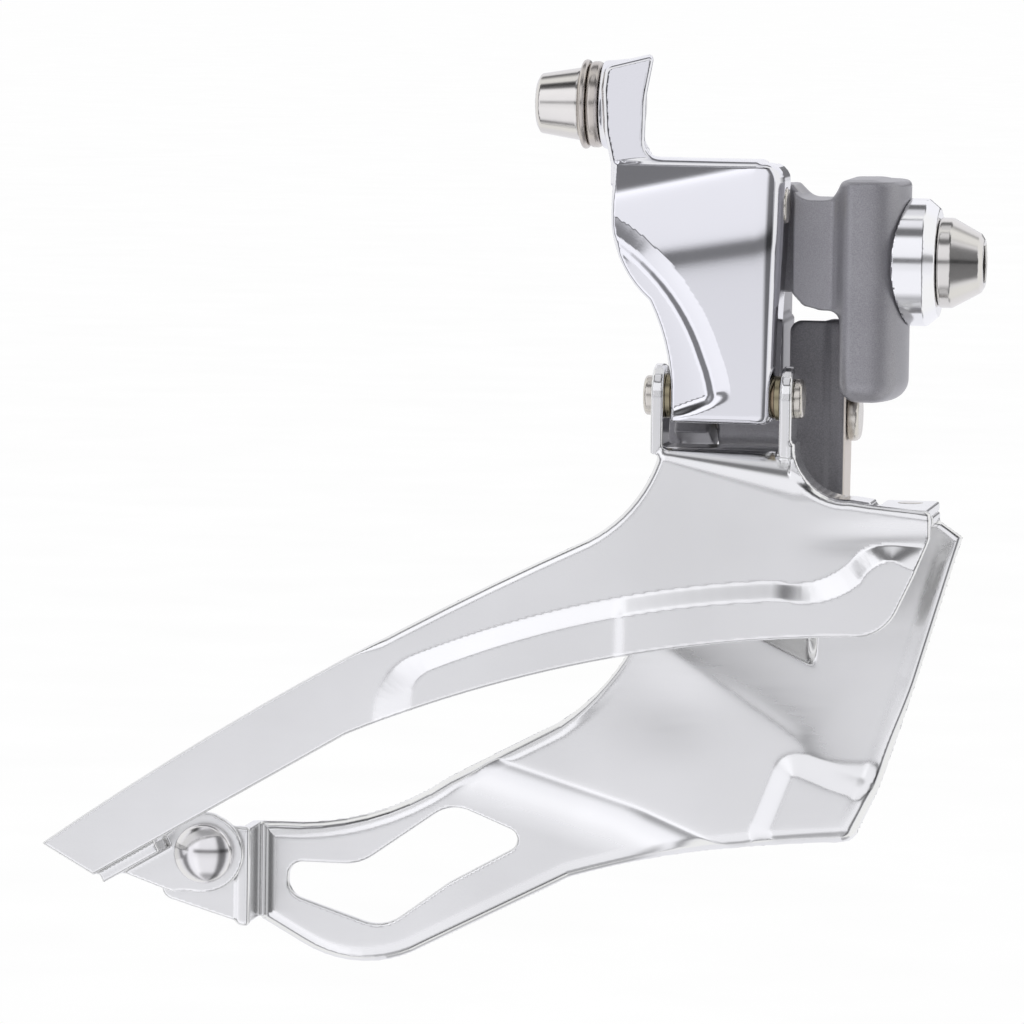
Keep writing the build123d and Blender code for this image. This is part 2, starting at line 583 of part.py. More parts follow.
# --------------------------------------------------------------- limit screws
def limit_screw(screw_y, tip_z):
    """M4 screw with a dog point, a pan head and a cross recess, along Z."""
    place = (LIMIT_X, screw_y)
    head_z = BLOCK_TOP + PLATE_SHEET + 0.1
    bar_along_z(BLOCK_BOTTOM - 1.0, head_z, LIMIT_THREAD_R, place)
    bar_along_z(tip_z, BLOCK_BOTTOM - 1.0, LIMIT_DOG_R, place)
    bar_along_z(head_z, head_z + 2.0, LIMIT_HEAD_R, place)
    for length, width in ((3.4, 0.8), (0.8, 3.4)):
        slab(
            (LIMIT_X - length / 2, LIMIT_X + length / 2),
            (screw_y - width / 2, screw_y + width / 2),
            (head_z + 0.9, head_z + 2.0),
            mode=Mode.SUBTRACT,
        )


with BuildPart() as high_limit_screw:
    limit_screw(HIGH_LIMIT_Y, UPPER_INNER[1] + HIGH_SHOULDER + 0.08)
    fillet(high_limit_screw.edges().group_by(Axis.Z)[-1].filter_by(GeomType.CIRCLE), 0.5)
high_limit_screw.part.label = "high_limit_screw"
export_step(high_limit_screw.part, "parts/high_limit_screw.step")

with BuildPart() as low_limit_screw:
    limit_screw(LOW_LIMIT_Y, UPPER_INNER[1] + LOW_SHOULDER + 0.02)
    fillet(low_limit_screw.edges().group_by(Axis.Z)[-1].filter_by(GeomType.CIRCLE), 0.5)
low_limit_screw.part.label = "low_limit_screw"
export_step(low_limit_screw.part, "parts/low_limit_screw.step")

with BuildPart() as limit_screw_plate:
    slab((-28.0, -22.0), (-0.8, 14.6), (BLOCK_TOP, BLOCK_TOP + PLATE_SHEET))
    fillet(limit_screw_plate.edges().filter_by(Axis.Z), 1.2)
    for screw_y in (HIGH_LIMIT_Y, LOW_LIMIT_Y):
        bar_along_z(
            BLOCK_TOP, BLOCK_TOP + PLATE_SHEET, LIMIT_THREAD_R + RUNNING, (LIMIT_X, screw_y),
            mode=Mode.SUBTRACT,
        )
limit_screw_plate.part.label = "limit_screw_plate"
export_step(limit_screw_plate.part, "parts/limit_screw_plate.step")

# --------------------------------------------------------------- fixing bolt
with BuildPart() as concave_washer:
    bar_along_x(-2.0, WASHER_FACE, WASHER_R, (0, 0))
    chamfer(concave_washer.faces().sort_by(Axis.X)[-1].edges(), 1.4, 1.2)
    bar_along_z(-9.0, 9.0, WASHER_CONCAVE_R, (0.03 - WASHER_CONCAVE_R, 0), mode=Mode.SUBTRACT)
    bar_along_x(-2.0, WASHER_FACE, BOLT_R + 0.2, (0, 0), mode=Mode.SUBTRACT)
concave_washer.part.label = "concave_washer"
export_step(concave_washer.part, "parts/concave_washer.step")

FLANGE_R = 5.1
FLANGE_SPAN = (WASHER_FACE + 0.02, 4.9)

with BuildPart() as fixing_bolt:
    bar_along_x(-8.0, FLANGE_SPAN[0], BOLT_R, (0, 0))
    bar_along_x(*FLANGE_SPAN, FLANGE_R, (0, 0))
    with BuildSketch(Plane.XZ):
        with BuildLine():
            Polyline(
                (FLANGE_SPAN[1], 0), (FLANGE_SPAN[1], FLANGE_R), (8.1, 3.3), (8.5, 2.7), (8.5, 0),
                close=True,
            )
        make_face()
    revolve(axis=Axis.X)
    with BuildSketch(across(5.5)) as hex_socket:
        RegularPolygon(2.3, 6)
    extrude(hex_socket.sketch, amount=4.0, mode=Mode.SUBTRACT)
fixing_bolt.part.label = "fixing_bolt"
export_step(fixing_bolt.part, "parts/fixing_bolt.step")

# --------------------------------------------------------------- cable anchor
CLAMP_SHEET = 1.5
ANCHOR_WASHER_SHEET = 0.8
CLAMP_LEFT = ANCHOR_X - CLAMP_SHEET
HEAD_RIGHT = CLAMP_LEFT - ANCHOR_WASHER_SHEET

with BuildPart() as cable_clamp_plate:
    bar_along_x(CLAMP_LEFT, ANCHOR_X - 0.02, 4.9, ANCHOR)
    profile_along_x(
        (CLAMP_LEFT, ANCHOR_X - 0.02),
        [(4.0, 21.2), (8.8, 21.2), (8.8, 11.2), (4.0, 11.2)],
    )
    bar_along_x(CLAMP_LEFT, ANCHOR_X, ANCHOR_BOLT_R + 0.1, ANCHOR, mode=Mode.SUBTRACT)
    bar_along_z(10.0, 25.0, CABLE_R, (ANCHOR_X, CABLE_Y), mode=Mode.SUBTRACT)
cable_clamp_plate.part.label = "cable_clamp_plate"
export_step(cable_clamp_plate.part, "parts/cable_clamp_plate.step")

with BuildPart() as cable_washer:
    bar_along_x(HEAD_RIGHT, CLAMP_LEFT - 0.02, 5.1, ANCHOR)
    bar_along_x(HEAD_RIGHT, CLAMP_LEFT, ANCHOR_BOLT_R + 0.1, ANCHOR, mode=Mode.SUBTRACT)
cable_washer.part.label = "cable_washer"
export_step(cable_washer.part, "parts/cable_washer.step")

with BuildPart() as cable_anchor_bolt:
    bar_along_x(HEAD_RIGHT - 0.02, -31.2, ANCHOR_BOLT_R, ANCHOR)
    with BuildSketch(Plane.XZ.offset(-ANCHOR[0])):
        with BuildLine():
            Polyline(
                (HEAD_RIGHT - 0.02, ANCHOR[1]), (HEAD_RIGHT - 0.02, ANCHOR[1] + 4.15),
                (-43.0, ANCHOR[1] + 3.35), (-43.4, ANCHOR[1] + 2.9), (-43.4, ANCHOR[1]),
                close=True,
            )
        make_face()
    revolve(axis=Axis((0, *ANCHOR), (1, 0, 0)))
    with BuildSketch(across(-43.4)) as anchor_socket:
        with Locations(ANCHOR):
            RegularPolygon(2.3, 6)
    extrude(anchor_socket.sketch, amount=2.6, mode=Mode.SUBTRACT)
cable_anchor_bolt.part.label = "cable_anchor_bolt"
export_step(cable_anchor_bolt.part, "parts/cable_anchor_bolt.step")

# --------------------------------------------------------------- cage fasteners
with BuildPart() as cage_tail_screw:
    bar_along_y(TONGUE_Y + 3.4, TAIL_TAB_Y - 0.02, TAIL_SCREW_R, TAIL_SCREW)
    bar_along_y(TAIL_TAB_Y - 0.02, TAIL_TAB_Y - 2.6, TAIL_SCREW_HEAD_R, TAIL_SCREW)
    fillet(cage_tail_screw.faces().sort_by(Axis.Y)[0].edges(), 2.0)
cage_tail_screw.part.label = "cage_tail_screw"
export_step(cage_tail_screw.part, "parts/cage_tail_screw.step")

with BuildPart() as cage_tail_nut:
    with BuildSketch(upright(TONGUE_Y + TAIL_SHEET + 2.6)):
        with Locations(TAIL_SCREW):
            RegularPolygon(3.6, 6)
            Circle(TAIL_SCREW_R + FITTED, mode=Mode.SUBTRACT)
    extrude(amount=2.55)
cage_tail_nut.part.label = "cage_tail_nut"
export_step(cage_tail_nut.part, "parts/cage_tail_nut.step")

with BuildPart() as cage_bridge_rivet:
    bar_along_z(BRIDGE_TOP - 2.45, BRIDGE_TOP, RIVET_R, RIVET)
    bar_along_z(BRIDGE_TOP - 3.1, BRIDGE_TOP - 2.45, RIVET_HEAD_R, RIVET)
    fillet(cage_bridge_rivet.faces().sort_by(Axis.Z)[0].edges(), 0.3)
cage_bridge_rivet.part.label = "cage_bridge_rivet"
export_step(cage_bridge_rivet.part, "parts/cage_bridge_rivet.step")
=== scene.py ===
import json
from itertools import product
from math import atan2, ceil, cos, pi, radians, sin, sqrt
import bpy
import numpy as np
from mathutils import Matrix, Vector


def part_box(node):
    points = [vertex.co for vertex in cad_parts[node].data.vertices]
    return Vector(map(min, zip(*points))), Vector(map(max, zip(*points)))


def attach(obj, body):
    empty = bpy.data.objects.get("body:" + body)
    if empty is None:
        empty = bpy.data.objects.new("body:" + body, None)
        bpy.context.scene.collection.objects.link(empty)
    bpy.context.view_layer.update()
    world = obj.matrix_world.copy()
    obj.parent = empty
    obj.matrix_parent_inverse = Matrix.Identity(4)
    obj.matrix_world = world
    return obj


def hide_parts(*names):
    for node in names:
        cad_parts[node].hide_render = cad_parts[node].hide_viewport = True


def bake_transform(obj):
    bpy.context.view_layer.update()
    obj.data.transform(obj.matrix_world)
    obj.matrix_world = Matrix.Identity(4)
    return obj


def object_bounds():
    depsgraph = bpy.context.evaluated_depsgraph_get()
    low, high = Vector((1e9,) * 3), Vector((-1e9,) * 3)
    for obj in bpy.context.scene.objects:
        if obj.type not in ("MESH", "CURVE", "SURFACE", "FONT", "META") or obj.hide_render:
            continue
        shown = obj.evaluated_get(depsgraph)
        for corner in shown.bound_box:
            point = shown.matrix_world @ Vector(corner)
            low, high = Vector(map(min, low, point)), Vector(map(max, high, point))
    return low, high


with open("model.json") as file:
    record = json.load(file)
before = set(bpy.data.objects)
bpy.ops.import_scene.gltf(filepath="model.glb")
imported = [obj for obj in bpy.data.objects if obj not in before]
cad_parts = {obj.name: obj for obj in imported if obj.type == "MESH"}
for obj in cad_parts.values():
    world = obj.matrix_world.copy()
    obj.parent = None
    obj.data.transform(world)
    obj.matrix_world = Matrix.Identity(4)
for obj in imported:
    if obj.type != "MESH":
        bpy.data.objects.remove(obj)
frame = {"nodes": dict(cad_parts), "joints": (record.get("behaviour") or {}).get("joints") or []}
cad_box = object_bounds()

# Shapes below are in millimetres, in the CAD frame: +X forward, +Y inboard, +Z up.
# Every shape is a field: a function of (x, y, z) that is negative inside the metal.
MM = 0.001


def span(node):
    """A CAD node's box in millimetres: [(x low, x high), (y low, y high), (z low, z high)]."""
    low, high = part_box(node)
    return [(a / MM, b / MM) for a, b in zip(low, high)]


def pivot(joint_name):
    """A joint's axis, as its (y, z) in millimetres."""
    place = next(j["pos_m"] for j in frame["joints"] if j["name"] == joint_name)
    return place[1] / MM, place[2] / MM


UPPER_OUTER = pivot("outer_link_swing")
LOWER_OUTER = pivot("cage_level")
UPPER_INNER = pivot("inner_link_swing")
LOWER_INNER = tuple(b + c - a for a, b, c in zip(UPPER_OUTER, LOWER_OUTER, UPPER_INNER))
INNER_LINK_X = span("inner_link")[0]
# Places that several pieces share: the tail screw's (x, z), the x range of the bridge between the cage
# plates, and the (x, y) of the cable groove and of the two limit screws.
TAIL = (-79.0, -69.1)
BRIDGE_X = (-2.2, 3.9)
CABLE_GROOVE = (-35.9, 7.4)
CABLE_GROOVE_RADIUS = 0.7
LIMIT_SCREWS = [(-25.2, 2.5), (-25.2, 11.5)]


# ------------------------------------------------------------------ outlines
def arc(start, middle, end, steps=12):
    """Points along the circle through three places, without the last one."""
    (ax, ay), (bx, by), (cx, cy) = start, middle, end
    d = 2 * (ax * (by - cy) + bx * (cy - ay) + cx * (ay - by))
    a2, b2, c2 = ax * ax + ay * ay, bx * bx + by * by, cx * cx + cy * cy
    ox = (a2 * (by - cy) + b2 * (cy - ay) + c2 * (ay - by)) / d
    oy = (a2 * (cx - bx) + b2 * (ax - cx) + c2 * (bx - ax)) / d
    radius = sqrt((ax - ox) ** 2 + (ay - oy) ** 2)
    first, mid, last = (atan2(py - oy, px - ox) for px, py in (start, middle, end))
    forward = (last - first) % (2 * pi)
    turn = forward if (mid - first) % (2 * pi) < forward else forward - 2 * pi
    angles = [first + turn * i / steps for i in range(steps)]
    return [(ox + radius * cos(t), oy + radius * sin(t)) for t in angles]


def rounded(places, steps=6):
    """Closed outline whose corners (u, v, radius) are rounded; (u, v) corners stay sharp."""
    points = []
    for i, place in enumerate(places):
        here = Vector(place[:2])
        radius = place[2] if len(place) > 2 else 0
        if not radius:
            points.append(tuple(here))
            continue
        back = Vector(places[i - 1][:2]) - here
        ahead = Vector(places[(i + 1) % len(places)][:2]) - here
        half = back.angle(ahead) / 2
        reach = min(radius / np.tan(half), 0.5 * back.length, 0.5 * ahead.length)
        start, end = here + back.normalized() * reach, here + ahead.normalized() * reach
        centre = here + (back.normalized() + ahead.normalized()).normalized() * (reach / cos(half))
        first = start - centre
        sweep = first.angle_signed(end - centre)
        for step in range(steps + 1):
            turned = Matrix.Rotation(-sweep * step / steps, 2) @ first
            points.append(tuple(centre + turned))
    return points


def distance(points, u, v):
    """Signed distance from (u, v) to a closed outline, negative inside."""
    u, v = np.broadcast_arrays(u, v)
    nearest = np.full(u.shape, np.inf)
    inside = np.zeros(u.shape, bool)
    for (au, av), (bu, bv) in zip(points, points[1:] + points[:1]):
        du, dv = bu - au, bv - av
        length2 = du * du + dv * dv
        if length2 < 1e-12:
            continue
        share = np.clip(((u - au) * du + (v - av) * dv) / length2, 0, 1)
        nearest = np.minimum(nearest, (u - au - share * du) ** 2 + (v - av - share * dv) ** 2)
        if dv:
            inside ^= ((av > v) != (bv > v)) & (u < au + du * (v - av) / dv)
    return np.where(inside, -1.0, 1.0) * np.sqrt(nearest)


# -------------------------------------------------------------------- fields
def meet(a, b, radius=0.0):
    """What is inside both fields, with the convex edge rounded."""
    if np.isscalar(radius) and radius == 0.0:
        return np.maximum(a, b)
    ar, br = a + radius, b + radius
    return np.hypot(np.maximum(ar, 0), np.maximum(br, 0)) + np.minimum(np.maximum(ar, br), 0) - radius


def join(a, b, radius=0.0):
    """What is inside either field, with the concave corner filled."""
    return -meet(-a, -b, radius)


def cut(a, b, radius=0.0):
    """What is inside the first field and outside the second."""
    return meet(a, -b, radius)


def between(value, low, high):
    return np.maximum(low - value, value - high)


def block(x, y, z, x_range, y_range, z_range, edge=0.3):
    return meet(meet(between(x, *x_range), between(y, *y_range), edge), between(z, *z_range), edge)


def rod(u, v, centre, radius):
    return np.hypot(u - centre[0], v - centre[1]) - radius


def ease(value, start, end):
    """0 before start, 1 after end, and smooth between."""
    share = np.clip((value - start) / (end - start), 0, 1)
    return share * share * (3 - 2 * share)


def softened(value, width):
    """max(value, 0) with its corner rounded over about that width."""
    return (value + np.sqrt(value * value + width * width)) / 2


def hexagon(u, v, centre, across_flats):
    """Distance to a hexagonal prism's side."""
    du, dv = np.abs(u - centre[0]), np.abs(v - centre[1])
    return np.maximum(dv, du * cos(radians(30)) + dv * sin(radians(30))) - across_flats / 2


# -------------------------------------------------------------------- meshes
def slope_of(field, points, here, reach=0.02):
    """The field's gradient at each point, where its own value is known."""
    slope = np.empty_like(points)
    for axis in range(3):
        ahead = points.copy()
        ahead[:, axis] += reach
        slope[:, axis] = (field(*ahead.T) - here) / reach
    return slope


def surface_cells(value):
    """Cells that the surface passes, and the mean place where it crosses their edges."""
    inside = value < 0
    shape = tuple(n - 1 for n in value.shape)
    filled = np.zeros(shape, np.int8)
    for i, j, k in product((0, 1), repeat=3):
        filled += inside[i:i + shape[0], j:j + shape[1], k:k + shape[2]]
    cells = np.argwhere((filled > 0) & (filled < 8))
    total, hits = np.zeros((len(cells), 3)), np.zeros((len(cells), 1))
    for start, axis in product(product((0, 1), repeat=3), range(3)):
        if start[axis]:
            continue
        step = np.eye(3, dtype=int)[axis]
        a = value[tuple((cells + start).T)]
        b = value[tuple((cells + start + step).T)]
        crossed = (a < 0) != (b < 0)
        share = np.where(crossed, a / np.where(crossed, a - b, 1), 0)
        total += (np.array(start) + share[:, None] * step) * crossed[:, None]
        hits += crossed[:, None]
    return inside, shape, cells, cells + total / hits


def surface_quads(inside, shape, cells):
    """One quad round each grid edge that crosses the surface, facing outwards."""
    index = np.full(shape, -1)
    index[tuple(cells.T)] = np.arange(len(cells))
    quads = []
    for axis in range(3):
        low = [slice(None)] * 3
        high = [slice(None)] * 3
        low[axis], high[axis] = slice(None, -1), slice(1, None)
        places = np.argwhere(inside[tuple(low)] != inside[tuple(high)])
        u, v = np.eye(3, dtype=int)[(axis + 1) % 3], np.eye(3, dtype=int)[(axis + 2) % 3]
        ring = [index[tuple((places - offset).T)] for offset in (0 * u, u, u + v, v)]
        ring = np.stack(ring, axis=1)
        leaving = inside[tuple(places.T)]
        quads.append(np.where(leaving[:, None], ring, ring[:, ::-1]))
    return np.concatenate(quads)


def mesh_object(name, points, faces, normals):
    """A smooth mesh object, from points in millimetres and a normal for each."""
    mesh = bpy.data.meshes.new(name)
    mesh.from_pydata((points * MM).tolist(), [], faces.tolist())
    mesh.validate()
    mesh.shade_smooth()
    mesh.normals_split_custom_set_from_vertices(normals.tolist())
    piece = bpy.data.objects.new(name, mesh)
    bpy.context.scene.collection.objects.link(piece)
    return piece


def grown(name, field, ranges, cell):
    """The closed surface of a field, meshed on a grid and then pulled exactly onto it."""
    axes = [np.arange(low - 2 * cell, high + 3 * cell, cell) for low, high in ranges]
    value = field(*np.meshgrid(*axes, indexing="ij", sparse=True))
    value = np.ascontiguousarray(np.broadcast_to(value, [len(a) for a in axes]))
    inside, shape, cells, places = surface_cells(value)
    points = np.array([a[0] for a in axes]) + cell * places
    for _ in range(2):
        here = field(*points.T)
        slope = slope_of(field, points, here)
        step = slope * (here / np.maximum((slope**2).sum(1), 1e-3))[:, None]
        length = np.linalg.norm(step, axis=1, keepdims=True)
        points -= step * np.minimum(1, 0.5 * cell / np.maximum(length, 1e-9))
    slope = slope_of(field, points, field(*points.T))
    normals = slope / np.maximum(np.linalg.norm(slope, axis=1, keepdims=True), 1e-9)
    return mesh_object(name, points, surface_quads(inside, shape, cells), normals)


# ----------------------------------------------------------- outer cage plate
SHEET = 1.4
PLATE_Y = -14.0
WEB_TOP = -20.6


def outer_plate_edges():
    """The whole outline, and the region below its upper edge, as (x, z)."""
    upper = [(-96.9, -67.8)]
    upper += arc((-96.9, -67.8), (-63.4, -46.3), (-34.5, -31.2))
    upper += arc((-34.5, -31.2), (-29.3, -26.8), (-26.2, -20.0))
    upper += [(-26.2, -20.0), (-11.2, -20.0)]
    upper += arc((-11.2, -20.0), (-9.3, -24.4), (-4.7, -26.0))
    upper += [(-4.7, -26.0), (4.3, -27.2)]
    lower = arc((0.9, -38.3), (-0.9, -40.4), (-4.4, -41.3))
    lower += arc((-4.4, -41.3), (-32.6, -44.8), (-61.6, -54.2), steps=24)
    lower += [(-61.6, -54.2), (-90.7, -71.3)]
    front = [(4.3, -30.2), (2.9, -34.0)]
    return upper + front + lower, upper + [(40, -27.2), (40, -140), (-140, -140), (-140, -67.8)]


def band_edges():
    """The raised band's foot and the edge of its raised face, as regions that run off the plate."""
    foot = [(-58.9, -60), (-58.7, -51.5)]
    foot += arc((-58.6, -50.6), (-57.2, -47.2), (-53.6, -44.7), steps=8)
    foot += arc((-53.6, -44.7), (-34.8, -38.55), (-13.0, -35.2), steps=20)
    foot += arc((-13.0, -35.2), (-7.8, -34.9), (-4.7, -32.9), steps=6)
    foot += arc((-4.7, -32.9), (-2.9, -31.4), (-0.7, -30.8), steps=6)
    foot += [(-0.7, -30.8), (12, -30.8), (12, -60)]
    face = [(-53.7, -60), (-53.7, -50.6)]
    face += arc((-53.7, -49.6), (-53.1, -47.6), (-51.3, -46.3), steps=5)
    face += arc((-51.3, -46.3), (-32.5, -40.3), (-12.0, -37.45), steps=20)
    face += arc((-12.0, -37.45), (-6.4, -37.1), (-3.0, -35.1), steps=6)
    face += arc((-3.0, -35.1), (-1.7, -33.4), (0.3, -32.6), steps=6)
    face += [(0.3, -32.6), (2.6, -33.6), (4.5, -36.0), (12, -45), (12, -60)]
    return foot, face


PLATE_OUTLINE, PLATE_UPPER = outer_plate_edges()
BAND_FOOT, BAND_FACE = band_edges()


def band_lift(x, z):
    """How far the pressed band stands outboard of the plate."""
    into = np.maximum(-distance(BAND_FOOT, x, z), 0)
    short = np.maximum(distance(BAND_FACE, x, z), 0)
    share = into / np.maximum(into + short, 1e-6)
    ramp = softened(share - 0.04, 0.05) - softened(share - 0.96, 0.05)
    height = 0.85 + 0.25 * ease(x, -31.2, -29.4)
    return height * np.clip(ramp / 0.92, 0, None)


def front_valley(x, z):
    """Shallow dent between the top lip and the band, at the front."""
    ridge = -29.9 + 0.05 * x
    return 0.3 * ease(x, -12, 1) * np.exp(-((z - ridge) / 1.5) ** 2)


def ear(x, y, z, x_low, centre, foot_z, foot_reach):
    """Pivot ear: a round-topped plate across X."""
    radius = 3.6
    side = rounded([
        (centre[0] - radius, centre[1] + radius, radius), (centre[0] + radius, centre[1] + radius, radius),
        (centre[0] + foot_reach[1], foot_z), (centre[0] + foot_reach[0], foot_z),
    ])
    return meet(distance(side, y, z), between(x, x_low, x_low + SHEET), 0.35)


def tail_tab(x, y, z):
    """The plate's tail flange, and the tab turned down from it that takes the tail screw."""
    flange = distance([(-90.2, -71.1), (-83.7, -67.3), (-83.1, -68.4), (-89.6, -72.2)], x, z)
    flange = meet(flange, between(y, PLATE_Y + 0.5, -6.9), 0.35)
    tab_outline = rounded([
        (-90.1, -71.2, 0.4), (-82.7, -73.8, 1.5), (-78.0, -73.3, 1.0), (-77.6, -64.9, 0.8),
        (-79.5, -64.5, 1.0), (-84.2, -67.5, 0.5),
    ])
    tab_plan = join(distance(tab_outline, x, z), rod(x, z, TAIL, 4.5), 0.6)
    tab = meet(tab_plan, between(y, -8.0, -6.9), 0.3)
    return join(flange, tab, 0.5)


def outer_plate_field(x, y, z):
    outline = distance(PLATE_OUTLINE, x, z)
    upper = distance(PLATE_UPPER, x, z)
    lift = band_lift(x, z) - front_valley(x, z)
    fold = 1.6 + 4.2 * np.clip((x + 26) / 15, 0, 1)
    outside = meet(PLATE_Y - lift - y, z - WEB_TOP, fold)
    sheet = np.maximum(outside, -outside - SHEET)
    roll = 0.45 + 0.75 * ease(x, -61, -57)
    sheet = meet(sheet, upper, roll)
    sheet = meet(sheet, outline, 0.4)
    sheet = meet(sheet, y + 6.3, 0.3)
    # Flange turned inboard along the curved edge in front of the right ear.
    lip = meet(np.maximum(outline, -outline - 1.2), between(y, -13.2, -7.6), 0.25)
    lip = meet(lip, block(x, y, z, (-11.6, -2.4), (-20, 0), (-27.0, -19)), 0.2)
    sheet = join(sheet, lip, 0.4)
    for x_low in (-27.4, -12.9):
        sheet = join(sheet, ear(x, y, z, x_low, LOWER_OUTER, WEB_TOP - 0.9, (-3.6, 1.6)), 0.7)
    bridge = block(x, y, z, BRIDGE_X, (-13.3, 0.0), (-28.2, -27.0), 0.3)
    sheet = join(sheet, bridge, 0.8)
    sheet = join(sheet, tail_tab(x, y, z), 0.5)
    sheet = cut(sheet, rod(y, z, LOWER_OUTER, 1.62), 0.1)
    return cut(sheet, rod(x, z, TAIL, 2.05), 0.1)


# ----------------------------------------------------------- inner cage plate
INNER_SHEET = 1.2
FRONT_EDGE = [(6.8, -30.9), (1.9, -47.4), (-2.3, -60.2), (-4.4, -64.7)]


def inner_plate_outline():
    outline = [(-27.0, -28.2), (-2.5, -27.6), (3.2, -28.5)] + FRONT_EDGE[:3]
    outline += arc(FRONT_EDGE[3], (-5.3, -65.9), (-6.8, -66.3), steps=5)
    outline += arc((-6.8, -66.3), (-22.5, -68.0), (-38.0, -71.7))
    outline += [(-38.0, -71.7)]
    outline += arc((-54.9, -80.4), (-62.6, -82.4), (-69.3, -80.5), steps=10)
    outline += [(-69.3, -80.5), (-74.1, -77.8), (-74.1, -66.3)]
    outline += arc((-72.0, -66.2), (-61.5, -64.9), (-52.5, -60.5), steps=8)
    outline += arc((-52.5, -60.5), (-46.5, -57.2), (-39.3, -53.4), steps=4)
    outline += arc((-39.3, -53.4), (-31.9, -45.9), (-28.4, -36.0))
    return outline


def slot_outline():
    return rounded([
        (-70.6, -70.8, 1.6), (-62.4, -70.9, 6.0), (-51.8, -63.4, 4.0), (-42.4, -67.2, 1.3),
        (-52.0, -72.6, 6.0), (-59.6, -78.2, 4.5), (-70.9, -74.5, 2.2),
    ])


PLATE_IN = inner_plate_outline()
SLOT = slot_outline()
BULGE = rounded([
    (-60, -46), (-47.5, -57.4), (-29.9, -62.8, 30), (-21.6, -66.3), (-10, -71.2),
    (-10, -90), (30, -90), (30, -20), (-60, -20),
])
FRONT_SIDE = [(60, 145.8), *FRONT_EDGE, (-60, -180), (-300, -180), (-300, 145.8)]
PAD = rounded([(-11.9, -58.5, 0.4), (-4.2, -61.2, 0.3), (-5.6, -64.4, 0.3), (-14.6, -65.5, 0.4)])


def inner_lift(x, z):
    """How far the pressed inner plate stands outboard of its base plane."""
    past_crease = distance(BULGE, x, z)
    bulge = 2.1 * (1 - np.clip(softened(past_crease, 0.25) / 7.2, 0, 1)) ** 2.4
    upper = 0.54 * (x + 11.3) + 0.84 * (z + 54.5)
    right = 0.908 * (x + 11.3) + 0.419 * (z + 54.5)
    past_facet = upper + softened(right - upper, 0.6)
    lean = 0.9 * (1 - np.exp(-softened(past_facet, 0.5) / 3.4)) * ease(z, -60.5, -56.5)
    hollow = 0.35 * np.exp(-(((x + 26) / 6) ** 2 + ((z + 50.5) / 5) ** 2))
    pad = 0.75 * softened(1 - softened(distance(PAD, x, z), 0.3) / 2.6, 0.1)
    ahead = -distance(FRONT_SIDE, x, z)
    flange = 0.3 * (1 - ease(ahead, 0.6, 2.8)) * ease(z, -66, -62) * ease(-z, 30, 34)
    above = z + 43.3 + 0.5 * (x + 15.7)
    wedge = 0.57 * np.minimum(softened(above, 0.2), 2.8)
    wedge = wedge * (1 - ease(x, -11.0, -9.5)) * (1 - ease(z, -40, -37))
    return bulge - lean - hollow + pad + flange - wedge


def inner_plate_field(x, y, z):
    outline = distance(PLATE_IN, x, z)
    rim = softened(outline + 1.9, 0.15)
    face = inner_lift(x, z) - (0.2 * rim + 0.12 * rim**2) * ease(-z, 48, 56)
    sheet = meet(-(y + face), y + face - INNER_SHEET)
    sheet = meet(sheet, outline, 1.0)
    sheet = cut(sheet, distance(SLOT, x, z), 0.3)
    # Riser and tongue that carry the plate out to the tail screw.
    riser = block(x, y, z, (-75.3, -74.1), (-6.88, 1.2), (-77.4, -66.3), 0.3)
    tongue_outline = rounded([
        (-84.2, -74.4, 1.5), (-84.2, -68.6, 1.5), (-79.0, -65.6, 2), (-74.1, -66.3, 0.3), (-74.1, -77.4, 0.3),
    ])
    tongue = meet(distance(tongue_outline, x, z), between(y, -6.88, -5.78), 0.3)
    sheet = join(sheet, join(riser, tongue, 0.6), 0.8)
    pin_y, pin_z = LOWER_INNER
    lug = rounded([
        (pin_y - 4.6, pin_z + 3.6, 0.5), (pin_y + 3.6, pin_z + 3.6, 3.5),
        (pin_y + 3.6, pin_z - 3.6, 3.5), (pin_y - 4.6, pin_z - 3.6, 0.5),
    ])
    for x_low in (-25.8, -12.0):
        sheet = join(sheet, meet(distance(lug, y, z), between(x, x_low, x_low + SHEET), 0.3), 0.6)
    tab = block(x, y, z, BRIDGE_X, (-6.6, 1.0), (-29.42, -28.22), 0.3)
    sheet = join(sheet, tab, 0.4)
    sheet = cut(sheet, rod(y, z, LOWER_INNER, 2.02), 0.1)
    return cut(sheet, rod(x, z, TAIL, 2.05), 0.1)


# ------------------------------------------------------------ outer link, hood
HOOD_FRONT = -13.6
HOOD_TOP = 11.5
HOOD_OUTLINE = (
    [(-15.4, 20), (-32.7, 20), (-32.4, 7.9), (-32.3, 4.0)]
    + arc((-32.3, 4.0), (-31.0, -0.4), (-27.9, -4.3), steps=8)
    + arc((-27.9, -4.3), (-26.0, -9.4), (-25.4, -17.0), steps=8)
    + [(-25.4, -24), (-13.9, -24), (-13.5, -7.0), (-13.2, 1.7)]
    + arc((-13.1, 9.1), (-13.8, 10.8), (-15.4, 11.5), steps=6)
    + [(-15.4, 11.5)]
)
SCOOP_CREASE = (
    arc((-36, 6.9), (-25.2, -0.2), (-19.6, -9.7), steps=14)
    + arc((-19.6, -9.7), (-18.4, -13.6), (-18.0, -18), steps=5)
    + [(-18.0, -18), (-18, -40), (20, -40), (20, 40), (-36, 40)]
)
CAVITY_FRONT = [
    (-30.6, 15.5), (-14.6, 15.5), (-14.6, -11.6), (-24.0, -11.6), (-24.6, -6.5), (-29.2, 0.0), (-30.6, 2.4),
]
HOLLOW_SIDE = [(-11.7, 6.4), (-11.7, -11.6), (2, -11.6), (2, 15.5), (-4.6, 15.5), (-6.5, 12.5), (-6.5, 6.4)]
